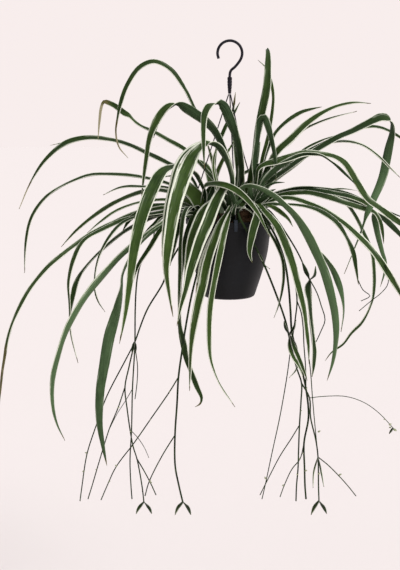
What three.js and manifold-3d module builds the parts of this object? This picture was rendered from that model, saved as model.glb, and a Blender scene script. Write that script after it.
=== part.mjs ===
// A variegated spider plant in a hanging pot, in millimetres, with +Z up and the pot's front towards -Y.
// The origin is where the inside of the hook bears on what it hangs from, straight above the pot's axis.
import * as THREE from 'three';
import { mergeVertices } from 'three/addons/utils/BufferGeometryUtils.js';
import Module from 'manifold-3d';

const wasm = await Module();
wasm.setup();

// Hanger: hook, neck and three wires with a clip each
const hookRadius = 16;
const hookWire = 4;
const shankBottom = -73;
const collarTop = -50;
const collarBottom = -74;
const collarRadius = 3.4;
const wireDiameter = 1.8;
const wireAzimuths = { front: -83, right: 37, left: 157 };
const gap = 0.3;

// Pot
const rimTop = -257;
const rimRadius = 65;
const rimBand = 8;
const wall = 2.2;
const potHeight = 118;
const baseRadius = 37;
const drainHole = 4.5;
const drainRing = 22;
const potSegments = 32;

// Soil and crowns
const soilEdge = -7;
const soilMound = 5;
const crownRadius = 10;
const crownSink = 13;
const crownRise = 9;

// The picture that the leaves are placed from: 1.5 mm a pixel at the pot's axis, seen from 10 degrees above
const cameraRise = THREE.MathUtils.degToRad(10);
const cameraDistance = 1500;
const focalPixels = 1000;
const frameCentre = [200, 285];
const rimInFrame = [229, 217];

const sight = new THREE.Vector3(0, Math.cos(cameraRise), -Math.sin(cameraRise));
const frameUp = new THREE.Vector3(0, Math.sin(cameraRise), Math.cos(cameraRise));
const frameRight = new THREE.Vector3(1, 0, 0);

function sightThrough(px, py) {
  return sight.clone()
    .addScaledVector(frameRight, (px - frameCentre[0]) / focalPixels)
    .addScaledVector(frameUp, (frameCentre[1] - py) / focalPixels);
}

const eye = new THREE.Vector3(0, 0, rimTop).addScaledVector(sightThrough(...rimInFrame), -cameraDistance);

// The point seen at a pixel, in the upright plane that stands so far in front of the pot's axis
function seen(px, py, towards) {
  const line = sightThrough(px, py);
  return eye.clone().addScaledVector(line, (-towards - eye.y) / line.y);
}

// Solids

function solidFrom(geometry) {
  const bare = geometry.clone();
  bare.deleteAttribute('normal');
  bare.deleteAttribute('uv');
  const merged = mergeVertices(bare, 1e-4);
  return new wasm.Manifold(new wasm.Mesh({
    numProp: 3,
    vertProperties: new Float32Array(merged.attributes.position.array),
    triVerts: new Uint32Array(merged.index.array),
  }));
}

function geometryFrom(solid) {
  const mesh = solid.getMesh();
  const geometry = new THREE.BufferGeometry();
  geometry.setAttribute('position', new THREE.BufferAttribute(new Float32Array(mesh.vertProperties), 3));
  geometry.setIndex(new THREE.BufferAttribute(new Uint32Array(mesh.triVerts), 1));
  geometry.computeVertexNormals();
  return geometry;
}

function join(solids) {
  return solids.reduce((whole, piece) => whole.add(piece));
}

// Joined leaves can close round a small hollow, or leave a scrap: only the largest outer skin is kept
function outerSkin(solid) {
  const mesh = solid.getMesh();
  const corners = mesh.triVerts;
  const places = mesh.vertProperties;
  const owner = Array.from({ length: places.length / 3 }, (unused, i) => i);
  const find = (i) => {
    let at = i;
    while (owner[at] !== at) {
      owner[at] = owner[owner[at]];
      at = owner[at];
    }
    return at;
  };
  for (let i = 0; i < corners.length; i += 3) {
    owner[find(corners[i + 1])] = find(corners[i]);
    owner[find(corners[i + 2])] = find(corners[i]);
  }
  const groups = new Map();
  for (let i = 0; i < corners.length; i += 3) {
    const group = find(corners[i]);
    const [a, b, c] = [0, 1, 2].map((k) => new THREE.Vector3().fromArray(places, 3 * corners[i + k]));
    const entry = groups.get(group) ?? { volume: 0, corners: [] };
    entry.volume += a.dot(b.cross(c)) / 6;
    entry.corners.push(corners[i], corners[i + 1], corners[i + 2]);
    groups.set(group, entry);
  }
  const largest = [...groups.values()].reduce((best, entry) => (entry.volume > best.volume ? entry : best));
  const geometry = new THREE.BufferGeometry();
  geometry.setAttribute('position', new THREE.BufferAttribute(new Float32Array(places), 3));
  geometry.setIndex(largest.corners);
  return solidFrom(geometry.toNonIndexed());
}

// A closed skin over rings of points, which run anticlockwise as seen from the far end.
// Faces meet the sharp edges of a blade alike above and below it.
function skin(rings, tip) {
  const around = rings[0].length;
  const corners = rings.flat().map((p) => [p.x, p.y, p.z]).flat();
  const faces = [];
  for (let i = 0; i < rings.length - 1; i += 1) {
    for (let k = 0; k < around; k += 1) {
      const a = i * around + k;
      const b = i * around + (k + 1) % around;
      if (k % 2 === 0) {
        faces.push(a, b, b + around, a, b + around, a + around);
      } else {
        faces.push(a, b, a + around, b, b + around, a + around);
      }
    }
  }
  for (let k = 1; k < around - 1; k += 1) {
    faces.push(0, k + 1, k);
  }
  const last = (rings.length - 1) * around;
  corners.push(tip.x, tip.y, tip.z);
  for (let k = 0; k < around; k += 1) {
    faces.push(last + k, last + (k + 1) % around, rings.length * around);
  }
  const geometry = new THREE.BufferGeometry();
  geometry.setAttribute('position', new THREE.BufferAttribute(new Float32Array(corners), 3));
  geometry.setIndex(faces);
  return solidFrom(geometry);
}

// How far along its length each point of a line lies, from 0 to 1
function shares(points) {
  const along = [0];
  for (let i = 1; i < points.length; i += 1) {
    along.push(along[i - 1] + points[i].distanceTo(points[i - 1]));
  }
  return along.map((length) => length / along[along.length - 1]);
}

function directions(points) {
  return points.map((point, i) => {
    const before = i > 0 ? point.clone().sub(points[i - 1]).normalize() : new THREE.Vector3();
    const after = i < points.length - 1 ? points[i + 1].clone().sub(point).normalize() : new THREE.Vector3();
    return before.add(after).normalize();
  });
}

// Leaves

const leafThickness = 1.5;
const leafKeel = 0.3;

// Half of a leaf's full width is its base, which opens over the first third, and the rest tapers to the tip
function leafShape(share) {
  const base = 0.5 + 0.5 * THREE.MathUtils.smoothstep(share, 0, 0.32);
  return base * (1 - share ** 2.8) ** 0.9;
}

// The turn of the blade about its own line that shows the given width in the picture
function turnFor(line, along, flat, up, visible, last) {
  const across = new THREE.Vector3().crossVectors(along, line).normalize();
  const lean = Math.atan2(up.dot(across), flat.dot(across));
  const half = Math.acos(Math.min(1, visible));
  const turns = [lean + half, lean - half, lean + half - Math.PI, lean - half - Math.PI,
    lean + half + Math.PI, lean - half + Math.PI];
  return turns.reduce((best, turn) => (Math.abs(turn - last) < Math.abs(best - last) ? turn : best));
}

function leafSolid(crown, leaf) {
  const points = [crown, ...leaf.line.map(([px, py, towards]) => seen(px, py, towards))];
  const pixels = [0, ...leaf.line.map((row) => row[3] ?? 0)];
  return bladeAlong(points, leaf.wide, pixels);
}

function bladeAlong(points, wide, pixels) {
  const along = directions(points);
  const share = shares(points);
  const reach = points[points.length - 1].clone().sub(points[0]).setZ(0).normalize();
  const side = new THREE.Vector3(-reach.y, reach.x, 0);
  const frames = points.map((point, i) => {
    const flat = side.clone().addScaledVector(along[i], -side.dot(along[i])).normalize();
    return { flat, up: new THREE.Vector3().crossVectors(along[i], flat) };
  });
  // Turns at the points whose width was read from the picture, and even turns between them
  const turns = [];
  let last = 0;
  points.forEach((point, i) => {
    if (pixels[i] > 0) {
      const line = point.clone().sub(eye);
      const width = pixels[i] * line.dot(sight) / focalPixels;
      const { flat, up } = frames[i];
      last = turnFor(line, along[i], flat, up, width / (wide * leafShape(share[i])), last);
      turns.push([share[i], last]);
    }
  });
  const turnAt = (s) => {
    if (turns.length === 0) {
      return 0;
    }
    const next = turns.findIndex(([place]) => place >= s);
    if (next === 0) {
      return turns[0][1] * THREE.MathUtils.smoothstep(s, 0, turns[0][0]);
    }
    if (next < 0) {
      return turns[turns.length - 1][1];
    }
    const [[fromPlace, from], [toPlace, to]] = [turns[next - 1], turns[next]];
    return from + (to - from) * (s - fromPlace) / (toPlace - fromPlace);
  };
  const rings = points.slice(0, -1).map((point, i) => {
    const turn = turnAt(share[i]);
    const { flat, up } = frames[i];
    const across = flat.clone().multiplyScalar(Math.cos(turn)).addScaledVector(up, Math.sin(turn));
    const raised = up.clone().multiplyScalar(Math.cos(turn)).addScaledVector(flat, -Math.sin(turn));
    const half = wide * leafShape(share[i]) / 2;
    const thick = leafThickness * (1.5 - 0.7 * share[i]) / 2;
    const lift = half * leafKeel;
    return [
      point.clone().addScaledVector(across, half).addScaledVector(raised, lift),
      point.clone().addScaledVector(raised, thick),
      point.clone().addScaledVector(across, -half).addScaledVector(raised, lift),
      point.clone().addScaledVector(raised, -thick),
    ];
  });
  return skin(rings, points[points.length - 1]);
}

// A leaf at the back of the plant, which rises from its crown and bends over evenly
function archSolid(crown, arch) {
  const steps = 8;
  const azimuth = THREE.MathUtils.degToRad(arch.azimuth);
  const point = crown.clone();
  const points = [point.clone()];
  for (let i = 0; i < steps; i += 1) {
    const rise = THREE.MathUtils.degToRad(arch.rise + (arch.fall - arch.rise) * (i + 0.5) / steps);
    const step = arch.long / steps;
    point.x += step * Math.cos(rise) * Math.cos(azimuth);
    point.y += step * Math.cos(rise) * Math.sin(azimuth);
    point.z += step * Math.sin(rise);
    points.push(point.clone());
  }
  return bladeAlong(points, arch.wide, points.map(() => 0));
}

// Each row of a leaf is a pixel across and down, how far it lies in front of the pot's axis, and the width seen there
const rosettes = {
  left: {
    at: [-42, -2],
    leaves: [
      // long low arch to the far left
      { wide: 16, line: [[196, 186, -6], [184, 170, -16], [168, 163, -26, 4], [150, 154, -36, 4], [133, 146, -44, 4],
        [112, 139.5, -50, 3], [90, 136.5, -54, 4.5], [66, 142, -57, 4.5], [48, 156, -58, 3.5], [33, 177, -58, 2],
        [19, 208, -54]] },
      { wide: 15, line: [[188, 196, -6], [170, 184, -18], [149, 178, -28, 3], [128, 174.5, -38, 3], [105, 173, -46, 4],
        [87, 175, -54, 3], [60, 186, -62, 2], [42, 200, -68, 3], [32, 216, -70, 3.5], [26, 240, -72, 2.5],
        [24.5, 272, -72]] },
      { wide: 9, line: [[190, 198, 4], [168, 187, 2], [145, 186, 0, 2], [122, 186, -4, 2], [103, 194, -6]] },
      { wide: 14, line: [[190, 199, -18], [163, 190, -40, 3.5], [139, 192, -56, 4], [115, 202, -68, 4],
        [94, 215, -78, 3.5], [76, 230, -86, 2.5], [61, 246, -92]] },
      { wide: 9, line: [[188, 203, 10], [163, 199, 22, 2.5], [138, 202, 32, 2], [115, 210.5, 40, 2],
        [100, 221, 46, 2], [87, 232, 50]] },
      // the longest one, out of the picture at its left edge
      { wide: 17, line: [[190, 206, 12], [162, 207, 30, 4], [136, 212.5, 44, 5], [110, 222, 56, 5], [85, 236, 66, 5],
        [61, 254, 76, 4.5], [36, 279, 86, 4.5], [18, 309, 94, 3.5], [7, 342, 98, 2.5], [1, 380, 100, 2],
        [-1, 406, 100]] },
      { wide: 12, line: [[188, 208, 24], [158, 214, 44, 3.5], [130, 217.5, 60], [104, 228, 72], [84, 240, 80, 3.5],
        [74, 258, 86, 4], [69, 280, 88, 4], [69.5, 305, 90, 4], [71, 332, 90, 2], [78, 362, 88]] },
      { wide: 11, line: [[186, 209, 30], [158, 212, 54, 3], [134, 217, 72], [120, 224, 80, 2.5], [107, 240, 88, 3.5],
        [98, 260, 92, 2], [94.5, 284, 94, 1.5], [98, 300, 94, 1.5], [105, 311, 93]] },
      { wide: 13, line: [[188, 210, 18], [160, 214.5, 32, 3.5], [131, 227, 42, 3.5], [118, 236, 47, 3], [105, 247, 52, 2],
        [95, 256, 55, 1.8], [84, 269, 59, 2.2], [76.5, 282, 62, 4.5], [71.5, 300, 64, 4], [69, 318, 65]] },
      { wide: 9, line: [[186, 207, 26], [160, 204, 44, 3], [146, 207, 54], [134, 214.5, 60, 4], [128, 221, 63, 3],
        [123, 229, 65]] },
      { wide: 8, line: [[186, 212, 26], [162, 215.5, 46, 2.5], [154, 223, 54, 2.5], [146, 231, 60, 2.5], [138, 241, 64]] },
      { wide: 16, line: [[186, 212, 34], [160, 224, 62, 4], [127, 250, 88, 5], [98, 280, 100, 6.5], [76, 311, 108, 6],
        [62, 342, 113, 5], [53, 378, 116, 5], [52.5, 403, 117, 3.5], [57, 423, 117, 1.8], [65, 440, 116]] },
      { wide: 12, line: [[186, 214, 40], [164, 226, 64, 4], [149, 248, 74, 4], [138, 265, 78, 3.5], [131, 287, 80]] },
      { wide: 12, line: [[196, 205, 22], [190, 208, 36, 4], [185, 217, 46, 5], [181, 232, 52, 5], [177, 252, 55, 4.5],
        [172, 274, 56]] },
      // broad arch that comes forward
      { wide: 21, line: [[195, 188, 20], [186, 172, 34], [174, 164.5, 50, 3], [161, 169, 66, 9], [150, 186, 84, 13],
        [143, 205, 98, 14], [137, 227, 108, 13], [131.5, 255, 115, 10.5], [128, 284, 118, 8], [125, 310, 119, 5],
        [119.5, 343, 119]] },
      // low blade that turns its face to the front at the bottom
      { wide: 17, line: [[182, 216, 36], [152, 232, 66, 3], [134, 248, 80, 2.5], [124.5, 263, 88, 1.4], [121.5, 277, 92, 1.4],
        [121.5, 288, 95, 3], [115.5, 306, 100, 8], [106, 335, 106, 10], [101, 362, 110, 9.5], [99, 390, 112, 8.5], [99.5, 420, 113, 6],
        [103, 445, 113, 3.5], [107, 463, 113]] },
      { wide: 9, line: [[190, 206, 36], [184, 214, 62], [181, 240, 72, 3.5], [180, 270, 76, 4], [179, 295, 77, 3.5],
        [178.5, 315, 77]] },
      { wide: 7, line: [[188, 211, 38], [181, 222, 52, 3], [177, 240, 56, 3], [171, 265, 56]] },
      // narrow arch that crosses the pot's front to the right
      { wide: 12, line: [[206, 189, 20], [214, 182.5, 44, 4], [226, 184.5, 66, 6.5], [239, 191, 78, 7],
        [250, 201.5, 87, 7], [259, 214, 94, 5.5], [265, 226, 98, 4], [270, 236, 100]] },
      // hidden behind the others as far as its broad brown end
      { wide: 14, line: [[198, 209, 28], [191, 223, 42], [184, 254, 50], [180.5, 288, 60, 3], [180, 312, 66, 3],
        [180.8, 325, 69, 3.5], [184, 343, 72, 5], [186.5, 357, 74, 4], [192, 371, 76, 3.5], [197, 386, 77, 5.5],
        [201.5, 397, 78, 3], [200, 403, 78, 1.5], [195, 406, 78]] },
    ],
    arches: [],
    stems: [
      { rooted: true, thick: [1.3, 0.9], line: [[194, 211, 36], [176, 220, 52], [158, 248, 60], [144, 268, 61],
        [137, 284, 60], [135.2, 310, 60], [134.8, 345, 60], [132.5, 387, 60], [131.5, 430, 60], [130, 460, 60],
        [131, 485, 60], [132, 498, 60]] },
      { thick: [0.8, 0.7], line: [[134.8, 345, 60], [137.5, 365, 58], [137, 382, 57], [135, 398, 56]] },
    ],
  },
  front: {
    at: [4, -34],
    leaves: [
      { wide: 20, line: [[228, 198, 42], [222, 192, 56, 9], [214, 205, 74, 13], [206, 225, 92, 14], [198, 245, 104, 12],
        [191, 267, 111, 10], [186, 287, 114, 6], [181, 304, 115, 4], [177, 325, 115]] },
      { wide: 11, line: [[226, 202, 44], [221, 206, 58], [214, 228, 78, 4], [206, 246, 88, 5], [199, 268, 94, 6],
        [195, 283, 96, 4.5], [191.5, 292, 96]] },
      { wide: 17, line: [[232, 202, 44], [227, 206, 58, 7], [219, 222, 76, 10], [211, 241, 88, 11], [204, 263, 97, 11],
        [199.5, 285, 101, 10], [196, 307, 103, 8.5], [193, 330, 104, 6.5], [191, 352, 104, 4], [189.5, 390, 103]] },
      { wide: 12, line: [[234, 206, 44], [229, 211, 62, 5], [222, 231, 74, 7], [217, 253, 81, 7], [212, 279, 86, 6.5],
        [209, 308, 88, 5], [208.5, 337, 88, 3.5], [211, 362, 87, 2], [219, 382, 86, 1.2], [235, 406, 84]] },
      { wide: 17, line: [[219, 199, 38], [210, 201, 54, 6], [202, 209, 66, 8], [195, 225, 78, 9], [190, 244, 86, 8],
        [187, 263, 90, 5], [184, 284, 92]] },
      // long arch over the pot's front to the right
      { wide: 18, line: [[237, 201, 40], [240, 190, 47], [244, 184.5, 54, 4], [251, 183.5, 62, 4.5], [262, 187.5, 74, 6],
        [277, 198, 86, 8], [292, 212.5, 96, 9], [305, 230, 104, 9.5], [316, 250, 110, 9.5], [325, 271, 114, 9.5],
        [332, 296, 117, 8.5], [335.5, 318, 118, 7], [336, 338, 118, 5], [333, 360, 118, 3], [327, 380, 117]] },
      // the broadest, up and over to the left, with a brown tip
      { wide: 22, line: [[229, 206, 42], [228.5, 196, 50], [229.5, 187, 56], [232.5, 178, 58, 7], [230, 162, 58, 7.5],
        [223, 147, 56, 7], [214, 141.5, 54, 4], [202, 143.5, 54, 7], [194, 152, 60, 11], [188.5, 165, 72, 13.5],
        [182.5, 180, 86, 15], [176.5, 199, 104, 14], [172, 220, 115, 12.5], [168.5, 243, 123, 11],
        [166.5, 266, 128, 7], [169, 290, 130, 3.5], [173, 316, 130]] },
    ],
    arches: [],
  },
  middle: {
    at: [8, 4],
    leaves: [
      // beside and behind the broadest one
      { wide: 16, line: [[231, 180, 6], [224, 160, 12], [213, 146, 18], [202, 141, 26, 3], [192, 144.5, 40, 4.5],
        [185, 151, 51, 6], [178.5, 161, 63, 7], [174, 173, 75, 7], [171, 185, 83, 5.5], [168, 200, 91, 5],
        [165.5, 216, 97, 4.5], [163, 236, 101, 4], [162, 256, 102]] },
      // tall arch to the left that shows its underside and then its face
      { wide: 17, line: [[236, 186, -2, 5], [233, 170, 2, 6], [227, 152, 4, 7.5], [217, 134, 4, 8],
        [206, 121, 2, 8.5], [192, 108.5, -3, 8.5], [182, 102.5, -7, 6], [174, 103.5, -9, 3], [164, 107.5, -11, 7],
        [155, 119, -12, 7], [149.5, 137, -12, 5], [145.5, 160, -11, 4], [141.5, 197, -8]] },
      // folded over at its top
      { wide: 17, line: [[241, 186, 2, 5], [241, 168, 14, 6], [239, 152, 28, 7.5], [235, 134, 37, 9],
        [229, 117, 38, 10], [223, 104, 32, 10], [218, 99.5, 29, 6], [211, 102, 27, 6], [205, 110, 25, 7],
        [203, 122, 24, 7], [203.5, 140, 24, 5], [204.5, 166, 24]] },
      { wide: 9, line: [[219, 192, 10], [216, 178, 12, 4], [213.5, 166, 14, 4], [211, 155, 16, 4], [208, 145, 18, 3.5],
        [204, 139, 20]] },
      { wide: 8, line: [[220, 192, 4], [217, 175, 2, 3], [223, 159, -2, 3.5], [230, 147, -6, 3], [236, 136, -8]] },
      { wide: 8, line: [[220, 190, -8], [215, 168, -12], [217, 148, -16], [221, 137, -18, 3.5], [227, 123, -20, 3.5],
        [234, 112, -22, 3], [240, 101, -24]] },
      // kinked, with a dry end that hangs straight down
      { wide: 12, line: [[227, 192, -6], [214, 176, -20, 3.5], [199, 161.5, -27, 3.5], [184, 148.5, -30, 4],
        [168, 139, -33, 4], [152, 130.5, -36, 3.5], [141, 124.5, -38, 2.2], [132, 116.5, -40, 3], [125, 110.5, -41, 6],
        [116, 105, -42, 6], [109, 101.5, -43, 4.5], [104, 101, -43, 2.5], [101, 108, -43, 2.2], [99.5, 120, -43, 2],
        [98, 138, -43]] },
      // over the picture's top edge and down again on the left
      { wide: 14, line: [[224, 190, -14], [216, 160, -22], [207, 135, -30], [198, 115, -36], [190, 101, -38, 3],
        [182, 85, -40, 3], [170, 69, -40], [154, 61, -38], [139, 67, -35], [127.5, 84, -32, 4.5], [121.5, 100, -30, 4],
        [118, 115, -29, 2.5], [116, 131, -28, 1.5], [119, 146, -27, 1.2], [128, 157, -27]] },
    ],
    arches: [],
  },
  right: {
    at: [36, -8],
    leaves: [
      // upright, out of the picture at its top edge, then over to the back
      { wide: 17, line: [[248.5, 198, -4, 5], [250.5, 180, -4, 5.5], [254.5, 160, -5, 5], [257, 139, -8, 5.5], [261, 118, -12, 8],
        [264.5, 100, -16, 8.5], [267, 84, -22, 8], [268, 66, -34, 8], [268, 53, -52, 7], [267, 48, -76, 5],
        [266, 51, -102]] },
      { wide: 14, line: [[257, 180, 6], [256.5, 163, 6, 3], [260, 143, 4, 3], [263.5, 126, 4, 3.5], [265, 117, 6, 6],
        [268, 116.5, 12, 6], [270.5, 124, 17, 6.5], [272.5, 140, 20, 5.5], [275, 158, 22, 4], [276, 181, 23]] },
      { wide: 10, line: [[259, 180, -10], [262.5, 160, -14, 3.5], [267, 142, -18, 4], [270.5, 125, -22, 3],
        [273, 108, -25, 3], [273.5, 95, -27, 3], [271, 80, -30, 3], [266, 67, -36], [258, 59, -44]] },
      { wide: 9, line: [[262, 168, -12], [268, 148, -20], [275, 135, -26, 3], [286, 123, -32, 4], [300, 112.5, -38, 3.5],
        [312, 108.5, -42, 3], [322, 106.5, -45]] },
      { wide: 15, line: [[263, 180, 8], [269, 165, 10, 5], [277, 152, 10, 6], [290, 137, 8, 6.5], [305, 122, 4, 6],
        [320, 111.5, 0, 5.5], [337, 104.5, -4, 4], [354, 102.3, -8, 2.5], [371, 103.8, -10]] },
      { wide: 8, line: [[266, 172, 18], [280, 152, 18, 3], [295, 136, 18, 2.5], [308, 127.5, 18, 2], [328, 118.5, 18, 1.5],
        [357, 111, 18]] },
      // far arch that folds over at its top and hangs back
      { wide: 19, line: [[262, 188, -8, 5], [275, 177, -16, 5], [290, 166, -22, 4.5], [305, 156, -28, 4.5],
        [322, 145, -35, 5], [341, 133.5, -42, 5], [361, 122, -50, 6], [375, 116, -56, 7.5], [384, 115.5, -60, 8],
        [390, 120, -62, 4], [392.5, 131, -62, 5], [390, 148, -60, 8.5], [385.5, 166, -57, 9.5], [379.5, 185, -52, 9],
        [374.5, 196, -48, 8], [370.5, 206, -45, 7], [367.5, 214, -43, 5], [364.5, 221, -41, 2.5], [361, 232, -38, 1.2],
        [353, 252, -34, 1.2], [344, 274, -30]] },
      { wide: 7, line: [[268, 186, -30], [285, 167, -44], [303, 149.5, -58, 2.5], [320, 140, -68, 2.5], [340, 133, -80]] },
      { wide: 10, line: [[270, 184, -14], [288, 166, -30, 3], [308, 150, -42, 2.5], [322, 143.5, -50, 2.5],
        [336, 140.3, -52, 2], [350, 141, -50, 2.2], [364, 145, -46, 2.5], [378, 155, -43, 2.2], [390, 167, -42, 2],
        [401, 178, -42]] },
      { wide: 15, line: [[259, 176, 16], [262, 164, 20, 3], [272, 159.5, 20, 5], [288, 154.5, 18, 6],
        [304, 151.2, 14, 5], [320, 153, 10, 4.5], [334, 155.5, 6, 4.5], [344, 162, 4, 5.5], [352, 174, 2, 6.5],
        [361, 190, 2, 7], [369, 201, 2, 6.5], [382, 210, 4, 6.5], [398, 220, 6, 4], [412, 232, 8]] },
      { wide: 9, line: [[262, 180, 26], [276, 166, 34], [290, 156, 38], [303, 151, 40, 3], [320, 154.5, 40, 3],
        [332, 161, 40, 3], [345, 171.5, 40, 3], [357, 185, 40]] },
      { wide: 10, line: [[262, 194, -16], [275, 178, -36], [300, 155.5, -66], [335, 137, -90], [362, 127.5, -102, 2],
        [375, 125.8, -105, 2.5], [388, 129.5, -108, 2.5], [399, 135.5, -110, 4], [412, 145, -112]] },
      { wide: 7, line: [[258, 196, 24], [266, 186, 32, 2.5], [274, 182, 36, 2.5], [285, 181.3, 38]] },
      { wide: 8, line: [[247, 196, -8], [241.5, 181, -12], [243, 173.5, -15, 2.5], [250, 170, -17, 2.5],
        [258, 165.5, -18, 3], [269, 161.5, -18, 3], [272.5, 166, -17, 2.5], [271.5, 173, -16, 2], [267, 178, -16]] },
      { wide: 12, line: [[247, 203, 8, 5], [243.5, 194, 14, 6], [242, 187, 18, 5], [243.5, 180, 20]] },
      { wide: 13, line: [[252, 204, 10, 6], [250.5, 195, 18, 8], [250, 188, 22, 7], [251, 180, 24]] },
      { wide: 12, line: [[256, 203, 12, 5], [258, 193, 20, 6], [261, 187, 26, 5], [266, 180, 28]] },
      { wide: 10, line: [[254, 206, 18, 5], [261, 199, 30, 5], [268, 195, 38, 4], [274, 194, 44]] },
      { wide: 15, line: [[257, 203, 26], [263, 210, 50, 5], [273, 223, 70, 7], [282, 241, 84, 8], [289.5, 259, 92, 8],
        [296, 280, 98, 7], [301.5, 303, 101, 5.5], [306, 325, 102, 4.5], [308.5, 345, 102, 3], [309, 363, 102]] },
      { wide: 8, line: [[255, 205, 30], [259, 212, 54], [268, 229, 70, 3], [276, 243, 77, 3], [282, 258, 81, 3],
        [283.5, 274, 83, 3], [282, 290, 84, 2.2], [278, 306, 84, 1.2], [274, 317, 84]] },
      { wide: 14, line: [[256, 204, 34], [257.5, 207, 54, 6], [256, 218, 70, 8], [252.5, 231, 78, 8.5],
        [249.5, 243, 81, 7.5], [249.5, 253, 82, 4], [252, 261.5, 82]] },
      { wide: 10, line: [[262, 204, 22], [272, 206, 34, 3], [281, 211.5, 44, 4], [288, 217.5, 50, 4], [293, 226, 54]] },
      { wide: 12, line: [[262, 206, 30], [280, 207, 48], [300, 222, 62], [314, 240, 70, 3], [322, 251, 74, 3],
        [330, 264, 78, 6.5], [337, 278, 80, 6.5], [342, 292, 82, 5], [344, 306, 82, 2.5], [343.5, 318, 82, 1.2],
        [341, 331, 82]] },
    ],
    arches: [],
    // two runners that come straight out of this crown, and the branch of each
    stems: [
      { rooted: true, thick: [1.4, 1], line: [[257, 207, 50], [270, 225, 66], [279, 243, 71], [285, 262, 74],
        [288.5, 285, 75], [290.5, 310, 75], [292, 332, 75], [300, 362, 75], [306, 388, 75], [308.5, 416, 75],
        [304, 442, 75], [304.5, 466, 75], [305, 485, 75], [306, 498, 75]] },
      { thick: [0.8, 0.7], line: [[304, 442, 75], [300, 458, 73], [292, 468, 71], [284, 485, 70], [280, 496, 70]] },
      { rooted: true, thick: [1.3, 1], line: [[260, 207, 44], [274, 226, 60], [286, 249, 68], [294, 275, 71],
        [297, 300, 73], [295.5, 316, 74], [292.5, 336, 75]] },
      { thick: [0.9, 0.8], line: [[297, 300, 73], [301, 311, 74], [303, 325, 75], [304, 345, 75], [305.5, 365, 75],
        [306, 388, 75]] },
      { rooted: true, thick: [1.4, 1], line: [[266, 208, 30], [277, 219, 52], [284, 229, 60], [291, 240, 67],
        [299, 254, 73], [310, 279, 79]] },
      { thick: [0.9, 0.7], line: [[310, 279, 79], [317, 292, 82], [321, 304, 84], [325, 319, 85], [321, 330, 86],
        [316, 341, 86]] },
    ],
  },
  far_right: {
    at: [38, 17],
    leaves: [
      { wide: 14, line: [[268, 196, -28], [276, 191.5, -32, 4], [290, 187.5, -36, 4.5], [310, 187, -42, 4.5],
        [330, 190, -46, 4], [350, 196, -50, 4], [366, 202, -52, 4], [374, 212, -52, 4], [379, 232, -50, 5],
        [383, 250, -49, 4], [387, 267, -48]] },
      { wide: 14, line: [[268, 200, -14], [277, 195.5, -16, 5], [292, 193, -18, 5], [310, 192.5, -20, 5.5],
        [328, 196.5, -22, 5.5], [346, 202, -24, 5.5], [362, 208, -26, 5], [374, 212, -26, 3], [380, 222, -26, 3.5],
        [384, 243, -26]] },
      { wide: 6, line: [[267, 197, -22], [290, 190, -46], [310, 188.5, -62], [328, 188.5, -73, 2], [343, 187.7, -82, 2.2],
        [357, 189.5, -88]] },
      { wide: 14, line: [[266, 204, -2], [276, 198.5, 2, 4], [290, 197.3, 6, 4.5], [308, 202, 10, 5], [324, 209, 14, 5.5],
        [342, 221, 18, 5.5], [358, 234.5, 22, 6], [374, 250.5, 26, 6.5], [388, 268.5, 28, 6.5], [400, 286, 30, 5],
        [410, 306, 30]] },
      { wide: 10, line: [[266, 207, 12], [278, 204, 22, 2], [292, 204, 30, 2], [308, 207, 36, 3.5], [322, 213, 40, 4.5],
        [336, 223, 44, 3.5], [347, 237, 48, 2.5], [353, 251, 50, 4], [356, 266, 51, 4.5], [358.5, 284, 51]] },
      { wide: 11, line: [[269, 204, -24], [290, 197, -46], [315, 195, -60], [335, 197, -68], [347, 204, -70, 3],
        [356, 217, -71, 3.5], [363, 231, -71, 3.5], [370, 247, -70, 2.5], [373.5, 266, -69, 3.5], [374, 284, -68, 3.5],
        [371, 302, -67, 2.5], [362, 321, -66, 3], [351, 332, -65, 2.5], [343, 343, -65, 2], [332, 352, -64, 1.5],
        [325, 361, -63]] },
      { wide: 12, line: [[267, 198, -20], [292, 190, -54], [320, 191, -78], [345, 197.5, -92], [362, 205, -99],
        [378, 214.5, -103, 4.5], [390, 225, -105, 4.5], [401, 237, -107, 4.5], [412, 250, -108]] },
      { wide: 9, line: [[267, 196, -12], [290, 187.5, -34], [320, 187.5, -52], [345, 192, -62], [362, 199, -66],
        [375, 205, -68, 2.5], [386, 209, -70, 3], [402, 215.5, -72, 2], [409, 219, -73]] },
    ],
    arches: [],
    stems: [
      { thick: [0.7, 0.6], line: [[358, 279, 51], [363, 289, 50], [370, 295, 48], [361, 300, 46]] },
      { thick: [0.7, 0.6], line: [[385, 264, 28], [388.5, 278, 27], [387, 285, 26], [380, 293, 25], [371, 300, 24],
        [359, 310, 23]] },
    ],
  },
  // The two at the back are out of sight: some leaves stay low, and some rise behind a broad leaf of the front
  back_left: {
    at: [-26, 32],
    leaves: [
      { wide: 15, line: [[212, 190, -60], [205, 165, -84], [190, 160, -104], [181, 176, -122], [175, 200, -136],
        [171, 226, -145], [168, 255, -150]] },
      { wide: 14, line: [[205, 198, -50], [180, 178, -74], [163, 176, -94], [152, 190, -110], [146, 208, -120],
        [140, 232, -128], [135, 262, -133]] },
    ],
    arches: [
      { azimuth: 128, long: 190, rise: 38, fall: -72, wide: 14 },
      { azimuth: 112, long: 250, rise: 40, fall: -74, wide: 17 },
      { azimuth: 98, long: 210, rise: 36, fall: -70, wide: 15 },
      { azimuth: 146, long: 130, rise: 30, fall: -60, wide: 12 },
      { azimuth: 104, long: 120, rise: 46, fall: -40, wide: 11 },
    ],
  },
  back_right: {
    at: [4, 42],
    leaves: [
      { wide: 14, line: [[240, 190, -62], [239, 160, -76], [235.5, 135, -96], [233.5, 128, -118], [235.5, 138, -138],
        [239, 160, -154], [240.5, 186, -164], [243, 214, -170]] },
      { wide: 13, line: [[248, 192, -66], [254, 165, -86], [257, 145, -112], [257, 142, -136], [255, 158, -158],
        [251, 184, -170], [249, 216, -176]] },
    ],
    arches: [
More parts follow.
